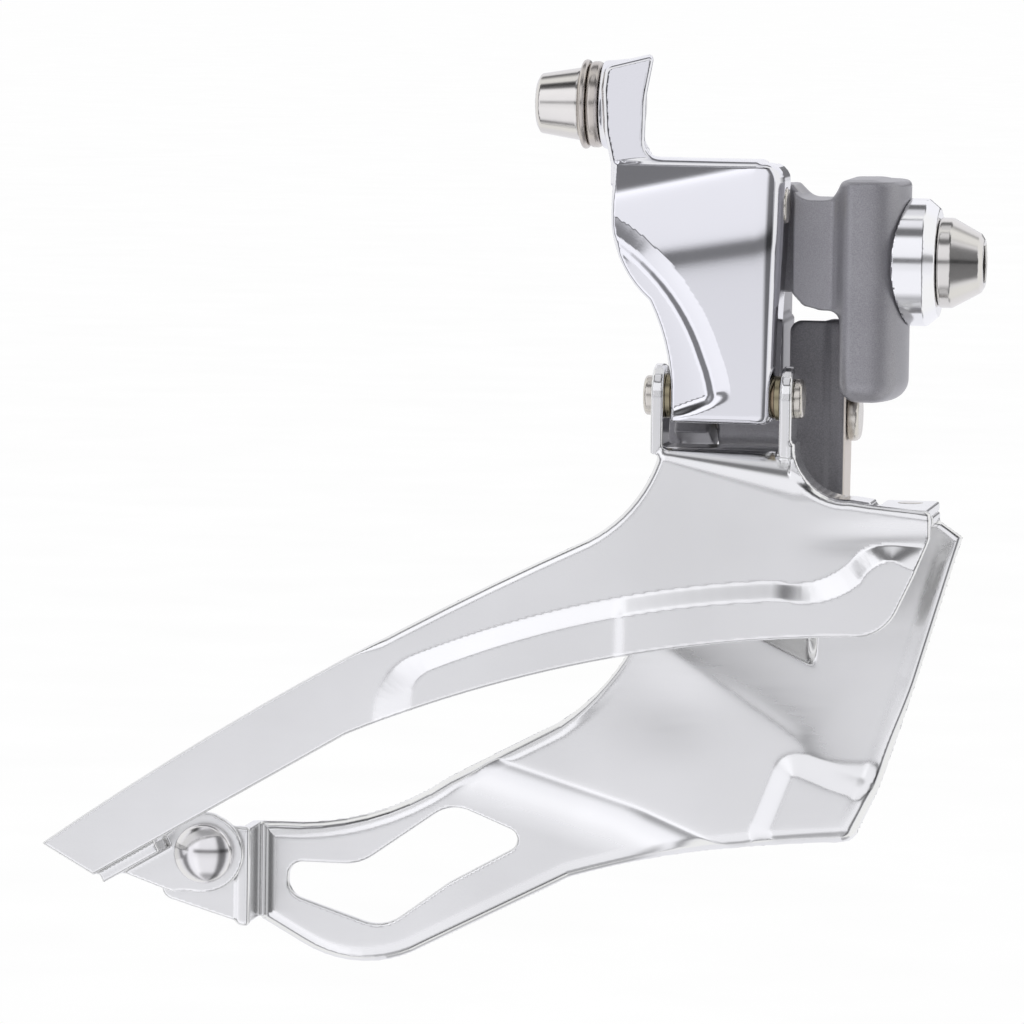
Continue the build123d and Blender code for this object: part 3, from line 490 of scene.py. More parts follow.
ARM_FRONT = rounded([
    (-32.5, 4.0), (-24.6, 4.0), (-24.6, 11.35), (-28.75, 11.35, 2.4), (-28.6, 18.1, 9), (-27.7, 22.9, 0.5),
    (-33.3, 21.5, 1.0), (-33.6, 19.0, 3), (-33.3, 14.2, 3), (-32.5, 10.8, 1),
])
ARM_SIDE = rounded([
    (-8.0, 8.0), (-4.4, 8.0, 1), (2.2, 12.2, 2), (3.4, 11.6, 0.6), (8.4, 11.6, 0.6), (9.0, 13.0, 1.5),
    (8.6, 20.0, 3), (6.5, 23.4, 2), (-0.5, 23.4, 0.3), (-10.0, 11.07),
])


def scoop_depth(x, z):
    """The hollow to the left of the hood's long curved crease."""
    past = np.maximum(distance(SCOOP_CREASE, x, z), 0)
    profile = 0.8 * (1 - np.exp(-past / 5)) + 0.38 * ease(past, 1.7, 3.1)
    return profile * ease(z - 0.41 * (x + 18), -15.2, -13.4)


def arm_field(x, y, z):
    """Cable arm: leans rearwards as it goes inboard."""
    leaned = x + 0.15 * (y + 12.0)
    arm = meet(distance(ARM_FRONT, leaned, z), distance(ARM_SIDE, y, z), 0.5)
    anchor = (4.0, 17.0)
    boss = meet(rod(y, z, anchor, 5.0), between(x, -35.9, -33.0), 0.4)
    arm = join(arm, boss, 0.6)
    side_slot = meet(between(y, 2.0, 6.0), between(z, 13.0, 21.0), 0)
    arm = cut(arm, meet(side_slot, -31.7 - x), 0.2)
    arm = meet(arm, CABLE_GROOVE[0] - x, 0.2)
    arm = cut(arm, rod(y, z, anchor, 2.52), 0.15)
    return cut(arm, rod(x, y, CABLE_GROOVE, CABLE_GROOVE_RADIUS), 0.1)


def hood_field(x, y, z):
    """Hood with a leaning front, a top wedge and a forward bevel; the cable arm; and its hollow back."""
    lean = 0.165 * softened(z - 2.4 - 0.17 * (x + 15.5), 1.8)
    front = HOOD_FRONT + lean + scoop_depth(x, z) - y
    wedge = -0.857 * (y + 8.0) + 0.515 * (z - 6.4) - 4.1 - 0.105 * (x + 32.0)
    skin = meet(front + softened(wedge - front, 0.3), z - HOOD_TOP, 0.9)
    skin = meet(skin, 0.707 * (x + 14.8) + 0.707 * front, 1.1)
    body = meet(skin, -17.9 - z, 1.0)
    body = meet(body, y + 4.2 - 0.126 * (z - 6.4), 0.5)
    body = meet(body, 0.695 * (y + 8.0) + 0.719 * (z - 6.4) - 5.75, 0.2)
    body = meet(body, distance(HOOD_OUTLINE, x, z), 0.5 + 0.5 * ease(x, -20, -15))
    body = join(body, arm_field(x, y, z), 0.3)
    hollow = np.minimum(
        distance(HOLLOW_SIDE, y, z),
        rod(y, z, UPPER_OUTER, 3.7),
    )
    hollow = np.maximum(hollow, distance(CAVITY_FRONT, x, z))
    wall = 0.45 - 0.5 * ease(y, -5.2, -4.4)
    body = cut(body, np.maximum(hollow, skin + wall), 0.3)
    body = cut(body, meet(rod(y, z, UPPER_OUTER, 2.01), between(x, -34, -12)), 0.1)
    return cut(body, rod(y, z, LOWER_OUTER, 2.26), 0.2)


# --------------------------------------------------------------- base bracket
def base_field(x, y, z):
    """Boss with a convex saddle, arm, pivot barrel, screw block and lug for the inner link."""
    saddle = rod(x, y, (-16.0, 0.0), 16.0)
    plan = meet(meet(saddle, np.abs(y) - 7.5, 2.6), -7.2 - x, 1.6)
    boss = meet(plan, -15.7 - z, 2.4)
    boss = meet(boss, z - 9.2, 0.6)
    arm_outline = rounded([
        (-3.0, 8.9, 1), (-6.6, 8.7, 1.5), (-8.6, 7.0, 1.6), (-11.6, 7.0, 2.0), (-13.2, 8.6, 0.6),
        (-17.0, 8.4), (-17.0, -3.6), (-12.6, -3.6, 0.6), (-11.4, -4.9, 0.6), (-9.4, -5.4, 0.8), (-3.0, -5.6),
    ])
    arm = meet(distance(arm_outline, x, z), between(y, -5.8, 5.0), 0.35)
    body = join(boss, arm, 1.3)
    body = cut(body, block(x, y, z, (-20.0, -12.7), (-14.0, -2.05), (-12.0, 14.0), 0), 0.3)
    body = join(body, block(x, y, z, (-28.2, -15.1), (-1.0, 14.8), (-8.0, 5.9), 1.0), 0.8)
    body = join(body, block(x, y, z, (-28.2, -15.3), (-8.0, 1.0), (2.8, 5.9), 0.5), 0.8)
    body = join(body, meet(rod(y, z, UPPER_OUTER, 3.6), between(x, -30.0, -15.3), 0.3), 0.6)
    lug = meet(rod(y, z, UPPER_INNER, 5.0), between(x, -22.0, -14.5), 0.4)
    neck = block(x, y, z, (-22.0, -14.5), (1.9, 11.9), (-18.0, -7.0), 0.4)
    body = join(body, np.minimum(lug, neck), 0.8)
    body = cut(body, rod(y, z, UPPER_INNER, 2.02), 0.15)
    body = cut(body, meet(rod(y, z, (6.9, -14.4), 0.9), between(x, -17.7, -10)), 0.1)
    body = cut(body, meet(rod(y, z, UPPER_OUTER, 2.67), between(x, -32, -14)), 0.15)
    for screw in LIMIT_SCREWS:
        body = cut(body, rod(x, y, screw, 2.06), 0.15)
    return cut(body, meet(rod(y, z, (0, 0), 2.52), between(x, -10, 5)), 0.2)


# ---------------------------------------------------------------- inner link
def inner_link_field(x, y, z):
    """Folded channel with a flange at each end, an upright lever and a cam for the limit screws."""
    flange = rounded([
        (UPPER_INNER[0] - 4.2, UPPER_INNER[1] + 4.2, 4.1), (UPPER_INNER[0] + 4.2, UPPER_INNER[1] + 4.2, 4.1),
        (LOWER_INNER[0] + 3.6, LOWER_INNER[1] - 3.6, 3.5), (LOWER_INNER[0] - 3.6, LOWER_INNER[1] - 3.6, 3.5),
    ])
    side = distance(flange, y, z)
    rear, front = (between(x, low, low + 1.5) for low in (INNER_LINK_X[0], -9.0))
    body = np.minimum(meet(side, rear, 0.25), meet(side, front, 0.25))
    riser = rounded([
        (1.4, -36.0), (1.4, -7.0, 1.0), (4.4, -7.0, 1.0), (6.8, -14.0, 4), (9.0, -18.0), (4.0, -30.0),
    ])
    body = np.minimum(body, meet(distance(riser, y, z), front, 0.25))
    web = block(x, y, z, INNER_LINK_X, (1.4, 2.4), (-35.0, -24.5), 0.25)
    lever_outline = rounded([(-13.7, -35.0), (-13.7, -7.0, 1.3), (-7.5, -7.0, 1.0), (-7.5, -35.0)])
    lever = meet(distance(lever_outline, x, z), between(y, 1.4, 2.4), 0.25)
    body = join(body, np.minimum(web, lever), 0.9)
    turn = radians(-46.0)
    cam_places = [(-2.2, 4.0), (-2.2, 6.0), (6.8, 6.0), (6.8, 3.2), (3.6, -2.6), (0.0, -4.2), (-3.6, -3.4)]
    turned_stop = [(-6.5, 4.0), (-2.2, 4.0)]
    high = [(u * cos(turn) + v * sin(turn), v * cos(turn) - u * sin(turn)) for u, v in turned_stop]
    cam = [(UPPER_INNER[0] + u, UPPER_INNER[1] + v) for u, v in high + cam_places]
    body = join(body, meet(distance(cam, y, z), between(x, INNER_LINK_X[0] + 1.0, -22.6), 0.3), 0.5)
    body = cut(body, rod(y, z, UPPER_INNER, 2.06), 0.15)
    return cut(body, rod(y, z, LOWER_INNER, 2.06), 0.15)


# ------------------------------------------------------- turned parts, sheets
def lathe(profile, centre):
    """A body turned about an X axis: its profile is (x, radius), closed along the axis."""
    points = rounded(profile)

    def field(x, y, z):
        return distance(points, x, np.hypot(y - centre[0], z - centre[1]))
    return field


def pin_profile(shank, radius, left, right, head, dome):
    """Profile of a pin with a head at one or both ends; each head is (x from, x to)."""
    profile = [(shank[0], -1.0)]
    if left:
        profile += [(left[0], -1.0), (left[0], head, dome), (left[1], head, 0.1), (left[1], radius)]
    else:
        profile += [(shank[0], radius, 0.3)]
    if right:
        profile += [(right[0], radius), (right[0], head, 0.1), (right[1], head, dome), (right[1], -1.0)]
    else:
        profile += [(shank[1], radius, 0.3)]
    return profile + [(shank[1], -1.0)]


def fixing_bolt_field(x, y, z):
    profile = rounded([
        (-8.0, -1), (-8.0, 2.5, 0.4), (3.42, 2.5), (3.42, 5.1, 0.35), (4.9, 5.1, 0.5),
        (8.1, 3.35, 0.3), (8.5, 2.7, 0.2), (8.5, -1),
    ])
    body = distance(profile, x, np.hypot(y, z))
    return cut(body, meet(hexagon(y, z, (0, 0), 4.0), 5.5 - x), 0.15)


def concave_washer_field(x, y, z):
    profile = rounded([(-2.5, -1), (-2.5, 7.2, 0.3), (2.1, 7.2, 0.35), (3.4, 6.1, 0.3), (3.4, -1)])
    body = distance(profile, x, np.hypot(y, z))
    body = cut(body, rod(x, y, (-17.97, 0), 18.0), 0.15)
    return cut(body, rod(y, z, (0, 0), 2.7), 0.15)


ANCHOR = tuple((low + high) / 2 for low, high in span("cable_washer")[1:])
WASHER_X = span("cable_washer")[0]
ANCHOR_X = span("cable_anchor_bolt")[0]


def cable_bolt_field(x, y, z):
    profile = rounded([
        (ANCHOR_X[1], -1), (ANCHOR_X[1], 2.5, 0.4), (WASHER_X[0] - 0.02, 2.5), (WASHER_X[0] - 0.02, 4.2, 0.3),
        (-43.0, 3.4, 0.4), (-43.4, 2.7, 0.3), (-43.4, -1),
    ])
    body = distance(profile, x, np.hypot(y - ANCHOR[0], z - ANCHOR[1]))
    return cut(body, meet(hexagon(y, z, ANCHOR, 4.0), x + 40.8), 0.15)


def cable_washer_field(x, y, z):
    radius = np.hypot(y - ANCHOR[0], z - ANCHOR[1])
    return meet(meet(radius - 5.1, between(x, *WASHER_X), 0.38), 2.6 - radius, 0.1)


def clamp_plate_field(x, y, z):
    low, high = span("cable_clamp_plate")[0]
    pad = rounded([(4.0, 21.2), (8.8, 21.2, 1.2), (8.8, 12.4, 1.0), (4.0, 12.4)])
    outline = join(distance(pad, y, z), rod(y, z, ANCHOR, 4.9), 0.5)
    body = meet(outline, between(x, low, high), 0.55)
    body = cut(body, rod(y, z, ANCHOR, 2.6), 0.1)
    return cut(body, rod(x, y, CABLE_GROOVE, CABLE_GROOVE_RADIUS), 0.1)


def tail_screw_field(x, y, z):
    radius = np.hypot(x - TAIL[0], z - TAIL[1])
    crown = 4.6
    dome = np.hypot(radius, y - (crown - 10.6)) - crown
    head = meet(meet(dome, radius - 3.45, 0.3), y + 8.02, 0.15)
    shank = meet(radius - 2.0, between(y, -9.0, -3.5), 0.3)
    return np.minimum(head, shank)


def tail_nut_field(x, y, z):
    body = meet(hexagon(x, z, TAIL, 6.2), between(y, -5.76, -3.2), 0.25)
    cone = (np.hypot(x - TAIL[0], z - TAIL[1]) - 3.3 + (y + 3.2)) * 0.707
    return cut(meet(body, cone, 0.1), rod(x, z, TAIL, 2.02), 0.1)


def bridge_rivet_field(x, y, z):
    centre = (0.9, -3.2)
    radius = np.hypot(x - centre[0], y - centre[1])
    head = meet(radius - 2.3, between(z, -30.1, -29.44), 0.25)
    return np.minimum(head, meet(radius - 1.49, between(z, -29.6, -26.96), 0.1))


def limit_screw(node):
    """M4 limit screw: thread, dog point, pan head and cross recess."""
    (x_low, x_high), (y_low, y_high), (tip, top) = span(node)
    place = ((x_low + x_high) / 2, (y_low + y_high) / 2)
    pitch, thread_foot, under_head = 0.7, -9.0, top - 2.0

    def field(x, y, z):
        dx, dy = x - place[0], y - place[1]
        radius = np.hypot(dx, dy)
        phase = (z / pitch + np.arctan2(dy, dx) / (2 * pi)) % 1.0
        thread = radius - 1.72 - 0.5 * np.abs(phase - 0.5)
        body = meet(thread, between(z, thread_foot, under_head + 0.2), 0.1)
        body = np.minimum(body, meet(radius - 1.5, between(z, tip, thread_foot + 0.5), 0.2))
        head = meet(radius - 2.9, between(z, under_head, top), 0.5)
        arms = np.minimum(
            meet(np.abs(dx) - 0.4, np.abs(dy) - 1.7), meet(np.abs(dx) - 1.7, np.abs(dy) - 0.4)
        )
        return cut(np.minimum(body, head), meet(arms, top - 1.1 - z), 0.1)
    return field


def limit_plate_field(x, y, z):
    x_range, y_range, z_range = span("limit_screw_plate")
    outline = rounded([(x_range[i], y_range[j], 1.4) for i, j in ((0, 0), (0, 1), (1, 1), (1, 0))])
    body = meet(distance(outline, x, y), between(z, *z_range), 0.2)
    for screw in LIMIT_SCREWS:
        body = cut(body, rod(x, y, screw, 2.06), 0.1)
    return body


# -------------------------------------------------------------- return spring
def spring_mesh():
    """The wire of the return spring: out of the lug, round the pin, up the lever."""
    wire, coil, rise, turns, first_x = 0.6, 3.6, 1.3, 2.75, -13.6
    path = [Vector((first_x - back, UPPER_INNER[0], UPPER_INNER[1] + coil)) for back in (3.6, 2.4, 1.2)]
    steps = ceil(turns * 32)
    for step in range(steps + 1):
        angle = 2 * pi * turns * step / steps
        offset = Vector((rise * turns * step / steps, coil * sin(angle), coil * cos(angle)))
        path.append(Vector((first_x, *UPPER_INNER)) + offset)
    end = path[-1].copy()
    path += [end + Vector((0, 0, up)) for up in (1.0, 2.5, 4.5, 7.0, 8.4)]
    sides = 14
    points, faces = [], []
    following, previous = path[1:] + path[-1:], path[:1] + path[:-1]
    ahead_of = [(later - earlier).normalized() for later, earlier in zip(following, previous)]
    across = ahead_of[0].orthogonal().normalized()
    for place, ahead in zip(path, ahead_of):
        across = (across - ahead * across.dot(ahead)).normalized()
        up = ahead.cross(across)
        for side in range(sides):
            angle = 2 * pi * side / sides
            points.append(place + wire * (cos(angle) * across + sin(angle) * up))
    for ring in range(len(path) - 1):
        for side in range(sides):
            a, b = ring * sides + side, ring * sides + (side + 1) % sides
            faces.append([a, b, b + sides, a + sides])
    mesh = bpy.data.meshes.new("return_spring_wire")
    caps = [list(range(sides))[::-1], [len(points) - sides + i for i in range(sides)]]
    mesh.from_pydata([tuple(p * MM) for p in points], [], faces + caps)
    mesh.shade_smooth()
    piece = bpy.data.objects.new("return_spring_wire", mesh)
    bpy.context.scene.collection.objects.link(piece)
    return piece


# ------------------------------------------------------------------ materials
class Graph:
    """A node tree that is written as calls: add a node, with its inputs as values or links."""

    def __init__(self, tree):
        self.tree = tree
        tree.nodes.clear()

    def add(self, kind, inputs=None, **settings):
        made = self.tree.nodes.new(kind)
        for key, value in settings.items():
            setattr(made, key, value)
        for key, value in (inputs or {}).items():
            if isinstance(value, bpy.types.NodeSocket):
                self.tree.links.new(value, made.inputs[key])
            else:
                made.inputs[key].default_value = value
        return made

    def math(self, operation, a, b=0.0):
        return self.add("ShaderNodeMath", {0: a, 1: b}, operation=operation).outputs[0]

    def mix(self, factor, a, b, blend_type="MIX"):
        """Blend of two colours; sockets 6 and 7 are the node's colour inputs."""
        inputs = {"Factor": factor, 6: a, 7: b}
        return self.add("ShaderNodeMix", inputs, data_type="RGBA", blend_type=blend_type).outputs[2]

    def part_of(self, vector, axis):
        return self.add("ShaderNodeSeparateXYZ", {"Vector": vector}).outputs[axis]

    def ramp(self, factor, stops):
        """A colour ramp; each stop is (place, colour)."""
        made = self.add("ShaderNodeValToRGB", {"Fac": factor})
        elements = made.color_ramp.elements
        while len(elements) < len(stops):
            elements.new(0.5)
        for element, (place, colour) in zip(elements, stops):
            element.position = place
            element.color = (*colour, 1)
        return made.outputs["Color"]

    def noise(self, scale, stretch=(1, 1, 1), detail=3.0):
        """Noise in object space; scale is features per metre, stretch is per axis."""
        place = self.add("ShaderNodeTexCoord").outputs["Object"]
        place = self.add("ShaderNodeMapping", {"Vector": place, "Scale": stretch}).outputs["Vector"]
        inputs = {"Vector": place, "Scale": scale, "Detail": detail}
        return self.add("ShaderNodeTexNoise", inputs).outputs["Fac"]

    def map(self, value, low, high, to_low, to_high):
        inputs = {"Value": value, "From Min": low, "From Max": high, "To Min": to_low, "To Max": to_high}
        return self.add("ShaderNodeMapRange", inputs).outputs["Result"]


def new_material(name):
    material = bpy.data.materials.new(name)
    material.use_nodes = True
    return material, Graph(material.node_tree)


def close_material(graph, inputs, bumps):
    """Ends a material: each bump is (height, distance in metres)."""
    normal = None
    for height, depth in bumps:
        settings = {"Height": height, "Distance": depth, "Strength": 1.0}
        if normal:
            settings["Normal"] = normal
        normal = graph.add("ShaderNodeBump", settings).outputs["Normal"]
    shader = graph.add("ShaderNodeBsdfPrincipled", {**inputs, "Normal": normal}).outputs["BSDF"]
    graph.add("ShaderNodeOutputMaterial", {"Surface": shader})


def metal(name, colour, rough, vary=0.04, stretch=(1, 1, 1), grain=2500.0, depth=4e-7, shade=0.08):
    """Bare or plated metal: roughness and tone drift, with a fine grain along one axis."""
    material, graph = new_material(name)
    grain_noise = graph.noise(grain, stretch)
    drift = graph.noise(90.0)
    fine = graph.map(grain_noise, 0, 1, rough - vary, rough + vary)
    roughness = graph.math("ADD", fine, graph.map(drift, 0.3, 0.7, -vary / 2, vary / 2))
    tone = graph.ramp(drift, [(0.3, [c * (1 - shade) for c in colour]), (0.7, colour)])
    inputs = {"Base Color": tone, "Metallic": 1.0, "Roughness": roughness}
    close_material(graph, inputs, [(grain_noise, depth)])
    return material


def pressed_plate():
    """Cage sheet: satin and finely brushed where it is flat, polished where it is pressed."""
    material, graph = new_material("pressed_plate")
    brushed = graph.noise(1800.0, (0.06, 1, 1))
    drift = graph.noise(60.0)
    normal = graph.add("ShaderNodeNewGeometry").outputs["Normal"]
    facing = graph.math("ABSOLUTE", graph.part_of(normal, "Y"))
    flat = graph.map(facing, 0.975, 0.997, 0.0, 1.0)
    satin = graph.map(brushed, 0.2, 0.8, 0.27, 0.36)
    roughness = graph.math("ADD", 0.17, graph.math("MULTIPLY", flat, graph.math("SUBTRACT", satin, 0.17)))
    tone = graph.ramp(drift, [(0.3, (0.80, 0.80, 0.795)), (0.7, (0.86, 0.86, 0.855))])
    inputs = {"Base Color": tone, "Metallic": 1.0, "Roughness": roughness}
    close_material(graph, inputs, [(brushed, 2.5e-7), (drift, 6e-6)])
    return material


def paint(name, dark, light, rough, bare=None):
    """Satin metallic paint: fine flakes, slight orange peel and thinner colour on edges.

    Bare is the metal's colour where the forward face is unpainted.
    """
    material, graph = new_material(name)
    flakes = graph.noise(9000.0, detail=1.0)
    peel = graph.noise(1100.0, detail=2.0)
    cloud = graph.noise(120.0)
    pattern = graph.math("ADD", graph.math("MULTIPLY", flakes, 0.7), graph.math("MULTIPLY", cloud, 0.3))
    tone = graph.ramp(pattern, [(0.35, dark), (0.65, light)])
    geometry = graph.add("ShaderNodeNewGeometry")
    worn = graph.map(geometry.outputs["Pointiness"], 0.56, 0.66, 0.0, 0.55)
    worn = graph.math("MULTIPLY", worn, graph.map(cloud, 0.35, 0.6, 0.3, 1.0))
    colour = graph.mix(worn, tone, (0.55, 0.54, 0.53, 1))
    roughness = graph.map(flakes, 0.2, 0.8, rough - 0.05, rough + 0.05)
    if bare:
        facing = graph.part_of(geometry.outputs["Normal"], "X")
        forward = graph.part_of(graph.add("ShaderNodeTexCoord").outputs["Object"], "X")
        front = graph.map(forward, -10.0 * MM, -9.0 * MM, 0.0, 1.0)
        edge = graph.math("MULTIPLY", graph.map(facing, 0.7, 0.85, 0.0, 1.0), front)
        colour = graph.mix(edge, colour, (*bare, 1))
    inputs = {"Base Color": colour, "Metallic": 0.55, "Roughness": roughness}
    inputs |= {"Coat Weight": 0.15, "Coat Roughness": 0.25}
    close_material(graph, inputs, [(peel, 3e-6), (flakes, 4e-7)])
    return material


def resin():
    material, graph = new_material("black_resin")
    grain = graph.noise(3000.0, detail=4.0)
    tone = graph.ramp(grain, [(0.3, (0.018, 0.018, 0.02)), (0.7, (0.032, 0.032, 0.035))])
    inputs = {"Base Color": tone, "Roughness": graph.map(grain, 0.2, 0.8, 0.4, 0.55)}
    close_material(graph, inputs, [(grain, 4e-6)])
    return material


PLATE = pressed_plate()
POLISHED = metal("polished_aluminium", (0.82, 0.82, 0.85), 0.10, 0.02, grain=4500.0, depth=9e-7, shade=0.02)
WASHER_POLISH = metal("washer_polish", (0.90, 0.90, 0.91), 0.12, 0.03, (1, 0.2, 0.2), depth=2e-7, shade=0.02)
NICKEL = metal("turned_nickel", (0.74, 0.72, 0.69), 0.16, 0.04, (0.3, 1, 1), depth=3e-7)
WARM_STEEL = metal("warm_steel", (0.60, 0.56, 0.52), 0.24, 0.05, (0.3, 1, 1))
PIN_STEEL = metal("pin_steel", (0.66, 0.63, 0.58), 0.22, 0.05)
CHROME = metal("chromed_screw", (0.80, 0.79, 0.79), 0.17, 0.03, depth=1e-7, shade=0.03)
BRASS = metal("washer_brass", (0.34, 0.30, 0.20), 0.30, 0.06)
BRONZE = metal("sintered_bronze", (0.36, 0.28, 0.19), 0.42, 0.08, depth=2e-6, shade=0.25)
SPRING = metal("drawn_wire", (0.46, 0.46, 0.47), 0.26, 0.05, depth=8e-7)
BASE_PAINT = paint("grey_paint", (0.29, 0.285, 0.305), (0.40, 0.395, 0.415), 0.40)
LINK_PAINT = paint("dark_paint", (0.19, 0.186, 0.20), (0.27, 0.266, 0.278), 0.42, bare=(0.72, 0.66, 0.60))
RESIN = resin()


# ---------------------------------------------------------------- the pieces
def place(node, body, slot, material, field, cell):
    """Grows a field, gives it its finish, and lets it stand for a CAD node on that node's body."""
    margin = 1.0
    ranges = [(low - margin, high + margin) for low, high in span(node)]
    piece = grown(node + "_shape", field, ranges, cell)
    piece.data.materials.append(material)
    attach(piece, body)
    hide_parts(node)


place("outer_cage_plate", "cage", "plated_cage_steel", PLATE, outer_plate_field, 0.27)
place("inner_cage_plate", "cage", "plated_cage_steel", PLATE, inner_plate_field, 0.27)
place("outer_link", "outer_link", "polished_aluminium", POLISHED, hood_field, 0.26)
place("base_bracket", "bracket", "painted_aluminium", BASE_PAINT, base_field, 0.36)
place("inner_link", "inner_link", "painted_steel", LINK_PAINT, inner_link_field, 0.34)
place("fixing_bolt", "bracket", "fastener_steel", NICKEL, fixing_bolt_field, 0.2)
place("concave_washer", "bracket", "polished_aluminium", WASHER_POLISH, concave_washer_field, 0.25)
place("cable_anchor_bolt", "outer_link", "fastener_steel", NICKEL, cable_bolt_field, 0.2)
place("cable_washer", "outer_link", "fastener_steel", WARM_STEEL, cable_washer_field, 0.18)
place("cable_clamp_plate", "outer_link", "fastener_steel", WARM_STEEL, clamp_plate_field, 0.22)
place("cage_tail_screw", "cage", "fastener_steel", CHROME, tail_screw_field, 0.16)
place("cage_tail_nut", "cage", "fastener_steel", NICKEL, tail_nut_field, 0.2)
place("cage_bridge_rivet", "cage", "fastener_steel", PIN_STEEL, bridge_rivet_field, 0.16)
for screw in ("low_limit_screw", "high_limit_screw"):
    place(screw, screw, "fastener_steel", NICKEL, limit_screw(screw), 0.14)
place("limit_screw_plate", "bracket", "black_resin", RESIN, limit_plate_field, 0.2)

PINS = {
    # node: (body, centre, shank, radius, left head, right head, head radius, dome)
    "outer_upper_pin": ("outer_link", UPPER_OUTER, (-32.2, -12.85), 2.0, None, None, 0, 0),
    "outer_lower_pin": (
        "cage", LOWER_OUTER, (-28.5, -10.5), 1.6, (-28.5, -27.4), (-11.5, -10.5), 2.25, 0.45,
    ),
    "inner_upper_pin": (
        "bracket", UPPER_INNER, (-29.1, -6.05), 2.0, (-29.1, -27.8), (-7.35, -6.05), 2.95, 1.2,
    ),
    "inner_lower_pin": (
        "cage", LOWER_INNER, (-28.9, -6.25), 2.0, (-28.9, -27.8), (-7.35, -6.25), 2.95, 1.0,
    ),
}
for node, (body, centre, shank, radius, left, right, head, dome) in PINS.items():
    profile = pin_profile(shank, radius, left, right, head, dome)
    place(node, body, "pivot_steel", PIN_STEEL, lathe(profile, centre), 0.2)

spring = spring_mesh()
spring.data.materials.append(SPRING)
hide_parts("return_spring")
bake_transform(spring)

CAD_FINISHES = {"upper_pivot_bushes": BRONZE, "lower_pivot_bushes": BRONZE, "thrust_washers": BRASS}
for node, material in CAD_FINISHES.items():
    slots = frame["nodes"][node].data.materials
    slots.clear()
    slots.append(material)


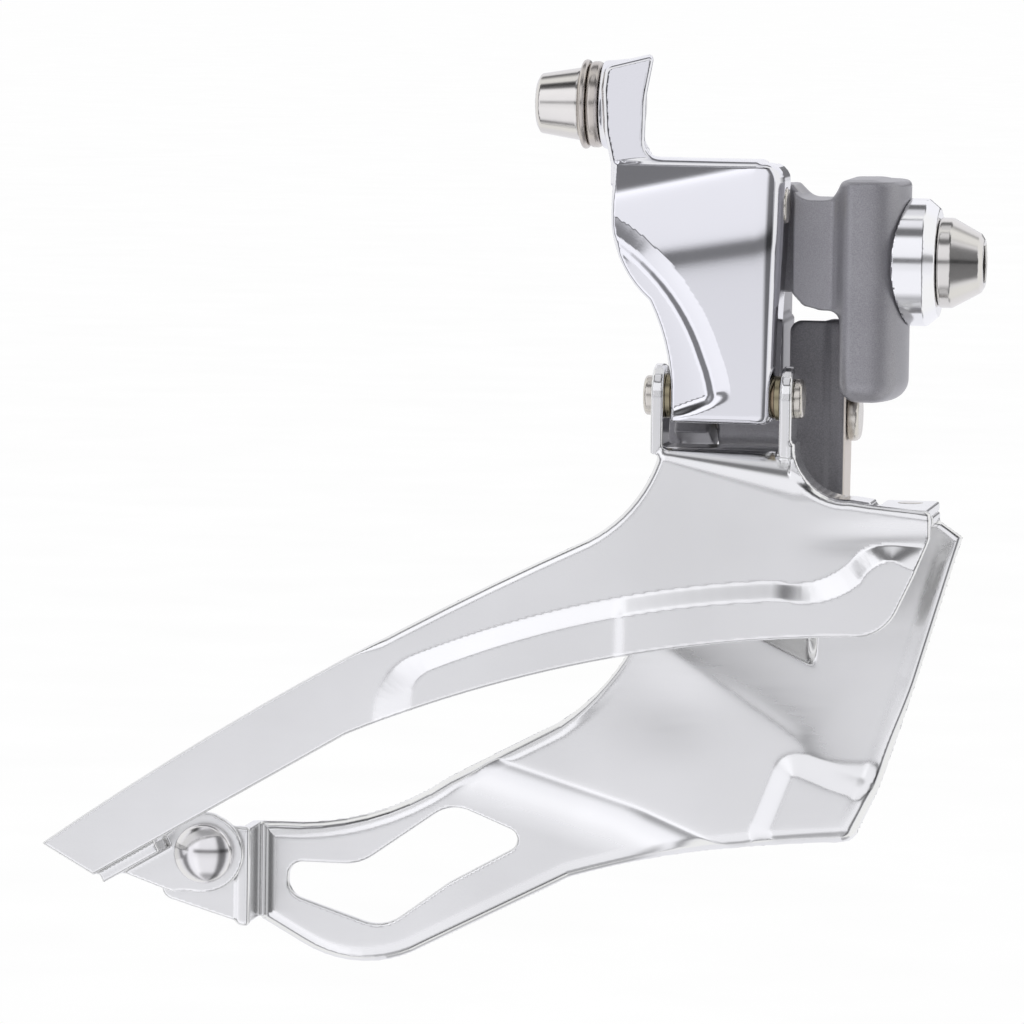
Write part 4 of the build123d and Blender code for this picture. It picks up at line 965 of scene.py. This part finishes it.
# ------------------------------------------------------------- floor and light
def studio_world():
    """Studio surround: bands by elevation times strips by azimuth, as (degrees, brightness).

    Azimuth 0 is outboard, and it grows towards +X. Low on the left an even tone takes the bands' place,
    the far sides are white, and the camera sees white.
    """
    white = (1, 1, 1, 1)
    world = bpy.data.worlds.new("studio")
    bpy.context.scene.world = world
    world.use_nodes = True
    graph = Graph(world.node_tree)
    direction = graph.add("ShaderNodeTexCoord").outputs["Generated"]
    parts = graph.add("ShaderNodeSeparateXYZ", {"Vector": direction}).outputs
    height = graph.math("DIVIDE", graph.math("ARCSINE", parts["Z"]), pi)
    height = graph.math("ADD", height, 0.5)
    bands = [
        (-90, 0.62), (-66, 0.42), (-54, 1.0), (-16, 1.0), (-10, 0.92), (-1, 0.87), (2, 0.20), (8, 0.20),
        (12, 0.99), (46, 1.03), (52, 0.16), (63, 0.18), (69, 0.75), (90, 0.85),
    ]
    by_height = graph.ramp(height, [((deg + 90) / 180, (v * 0.985, v * 0.985, v)) for deg, v in bands])
    around = graph.math("ARCTAN2", parts["X"], graph.math("MULTIPLY", parts["Y"], -1.0))
    around = graph.math("ADD", graph.math("DIVIDE", around, 2 * pi), 0.5)
    left_side = graph.math(
        "MULTIPLY", graph.map(around, 0.406, 0.428, 1.0, 0.0), graph.map(height, 0.60, 0.68, 1.0, 0.0)
    )
    by_height = graph.mix(left_side, by_height, (0.92, 0.92, 0.94, 1))
    strips = [
        (-180, 1.0), (-72, 1.0), (-64, 0.25), (-54, 0.25), (-46, 1.2), (-22, 1.2), (-13, 1.0), (36, 1.0),
        (45, 0.2), (62, 0.2), (70, 1.0), (180, 1.0),
    ]
    by_side = graph.ramp(around, [((deg + 180) / 360, (v, v, v * 1.03)) for deg, v in strips])
    mixed = graph.mix(1.0, by_height, by_side, "MULTIPLY")
    off_axis = graph.math("ABSOLUTE", graph.math("SUBTRACT", around, 0.5))
    sides = graph.math(
        "MULTIPLY", graph.map(off_axis, 0.205, 0.23, 0.0, 1.0), graph.map(off_axis, 0.33, 0.40, 1.0, 0.0)
    )
    mixed = graph.mix(sides, mixed, white)
    seen = graph.add("ShaderNodeLightPath").outputs["Is Camera Ray"]
    mixed = graph.mix(seen, mixed, white)
    shader = graph.add("ShaderNodeBackground", {"Color": mixed, "Strength": 1.0}).outputs["Background"]
    graph.add("ShaderNodeOutputWorld", {"Surface": shader})


def pale_floor():
    """Large white floor just under the part; it shows to the camera and gives no reflection."""
    material, graph = new_material("floor_white")
    speck = graph.noise(40.0)
    tone = graph.ramp(speck, [(0.3, (0.985, 0.985, 0.985)), (0.7, (1.0, 1.0, 1.0))])
    glow = graph.add("ShaderNodeEmission", {"Color": tone, "Strength": 1.0}).outputs["Emission"]
    graph.add("ShaderNodeOutputMaterial", {"Surface": glow})
    half = 40.0
    height = cad_box[0].z - 1.5 * MM
    mesh = bpy.data.meshes.new("floor")
    corners = [(-half, -half, height), (half, -half, height), (half, half, height), (-half, half, height)]
    mesh.from_pydata(corners, [], [(0, 1, 2, 3)])
    mesh.materials.append(material)
    floor = bpy.data.objects.new("floor", mesh)
    bpy.context.scene.collection.objects.link(floor)
    for ray in ("visible_diffuse", "visible_glossy", "visible_transmission", "visible_shadow"):
        setattr(floor, ray, False)


def photo_camera():
    """Long lens, slightly forward of square-on and slightly above."""
    azimuth, elevation, roll, reach = radians(9.5), radians(5.0), radians(0.8), 0.830
    target = Vector((-44.344, -4.995, -29.185)) * MM
    back = Vector((sin(azimuth) * cos(elevation), -cos(azimuth) * cos(elevation), sin(elevation)))
    right = Vector((cos(azimuth), sin(azimuth), 0))
    up = back.cross(right)
    right_rolled = right * cos(roll) + up * sin(roll)
    up_rolled = up * cos(roll) - right * sin(roll)
    data = bpy.data.cameras.new("camera")
    data.sensor_width = 36.0
    data.lens = 256.8
    data.clip_start = 0.01
    camera = bpy.data.objects.new("camera", data)
    turn = Matrix((right_rolled, up_rolled, back)).transposed()
    camera.matrix_world = Matrix.Translation(target + back * reach) @ turn.to_4x4()
    bpy.context.scene.collection.objects.link(camera)
    bpy.context.scene.camera = camera


studio_world()
pale_floor()
photo_camera()
bpy.context.scene.view_settings.view_transform = "Standard"
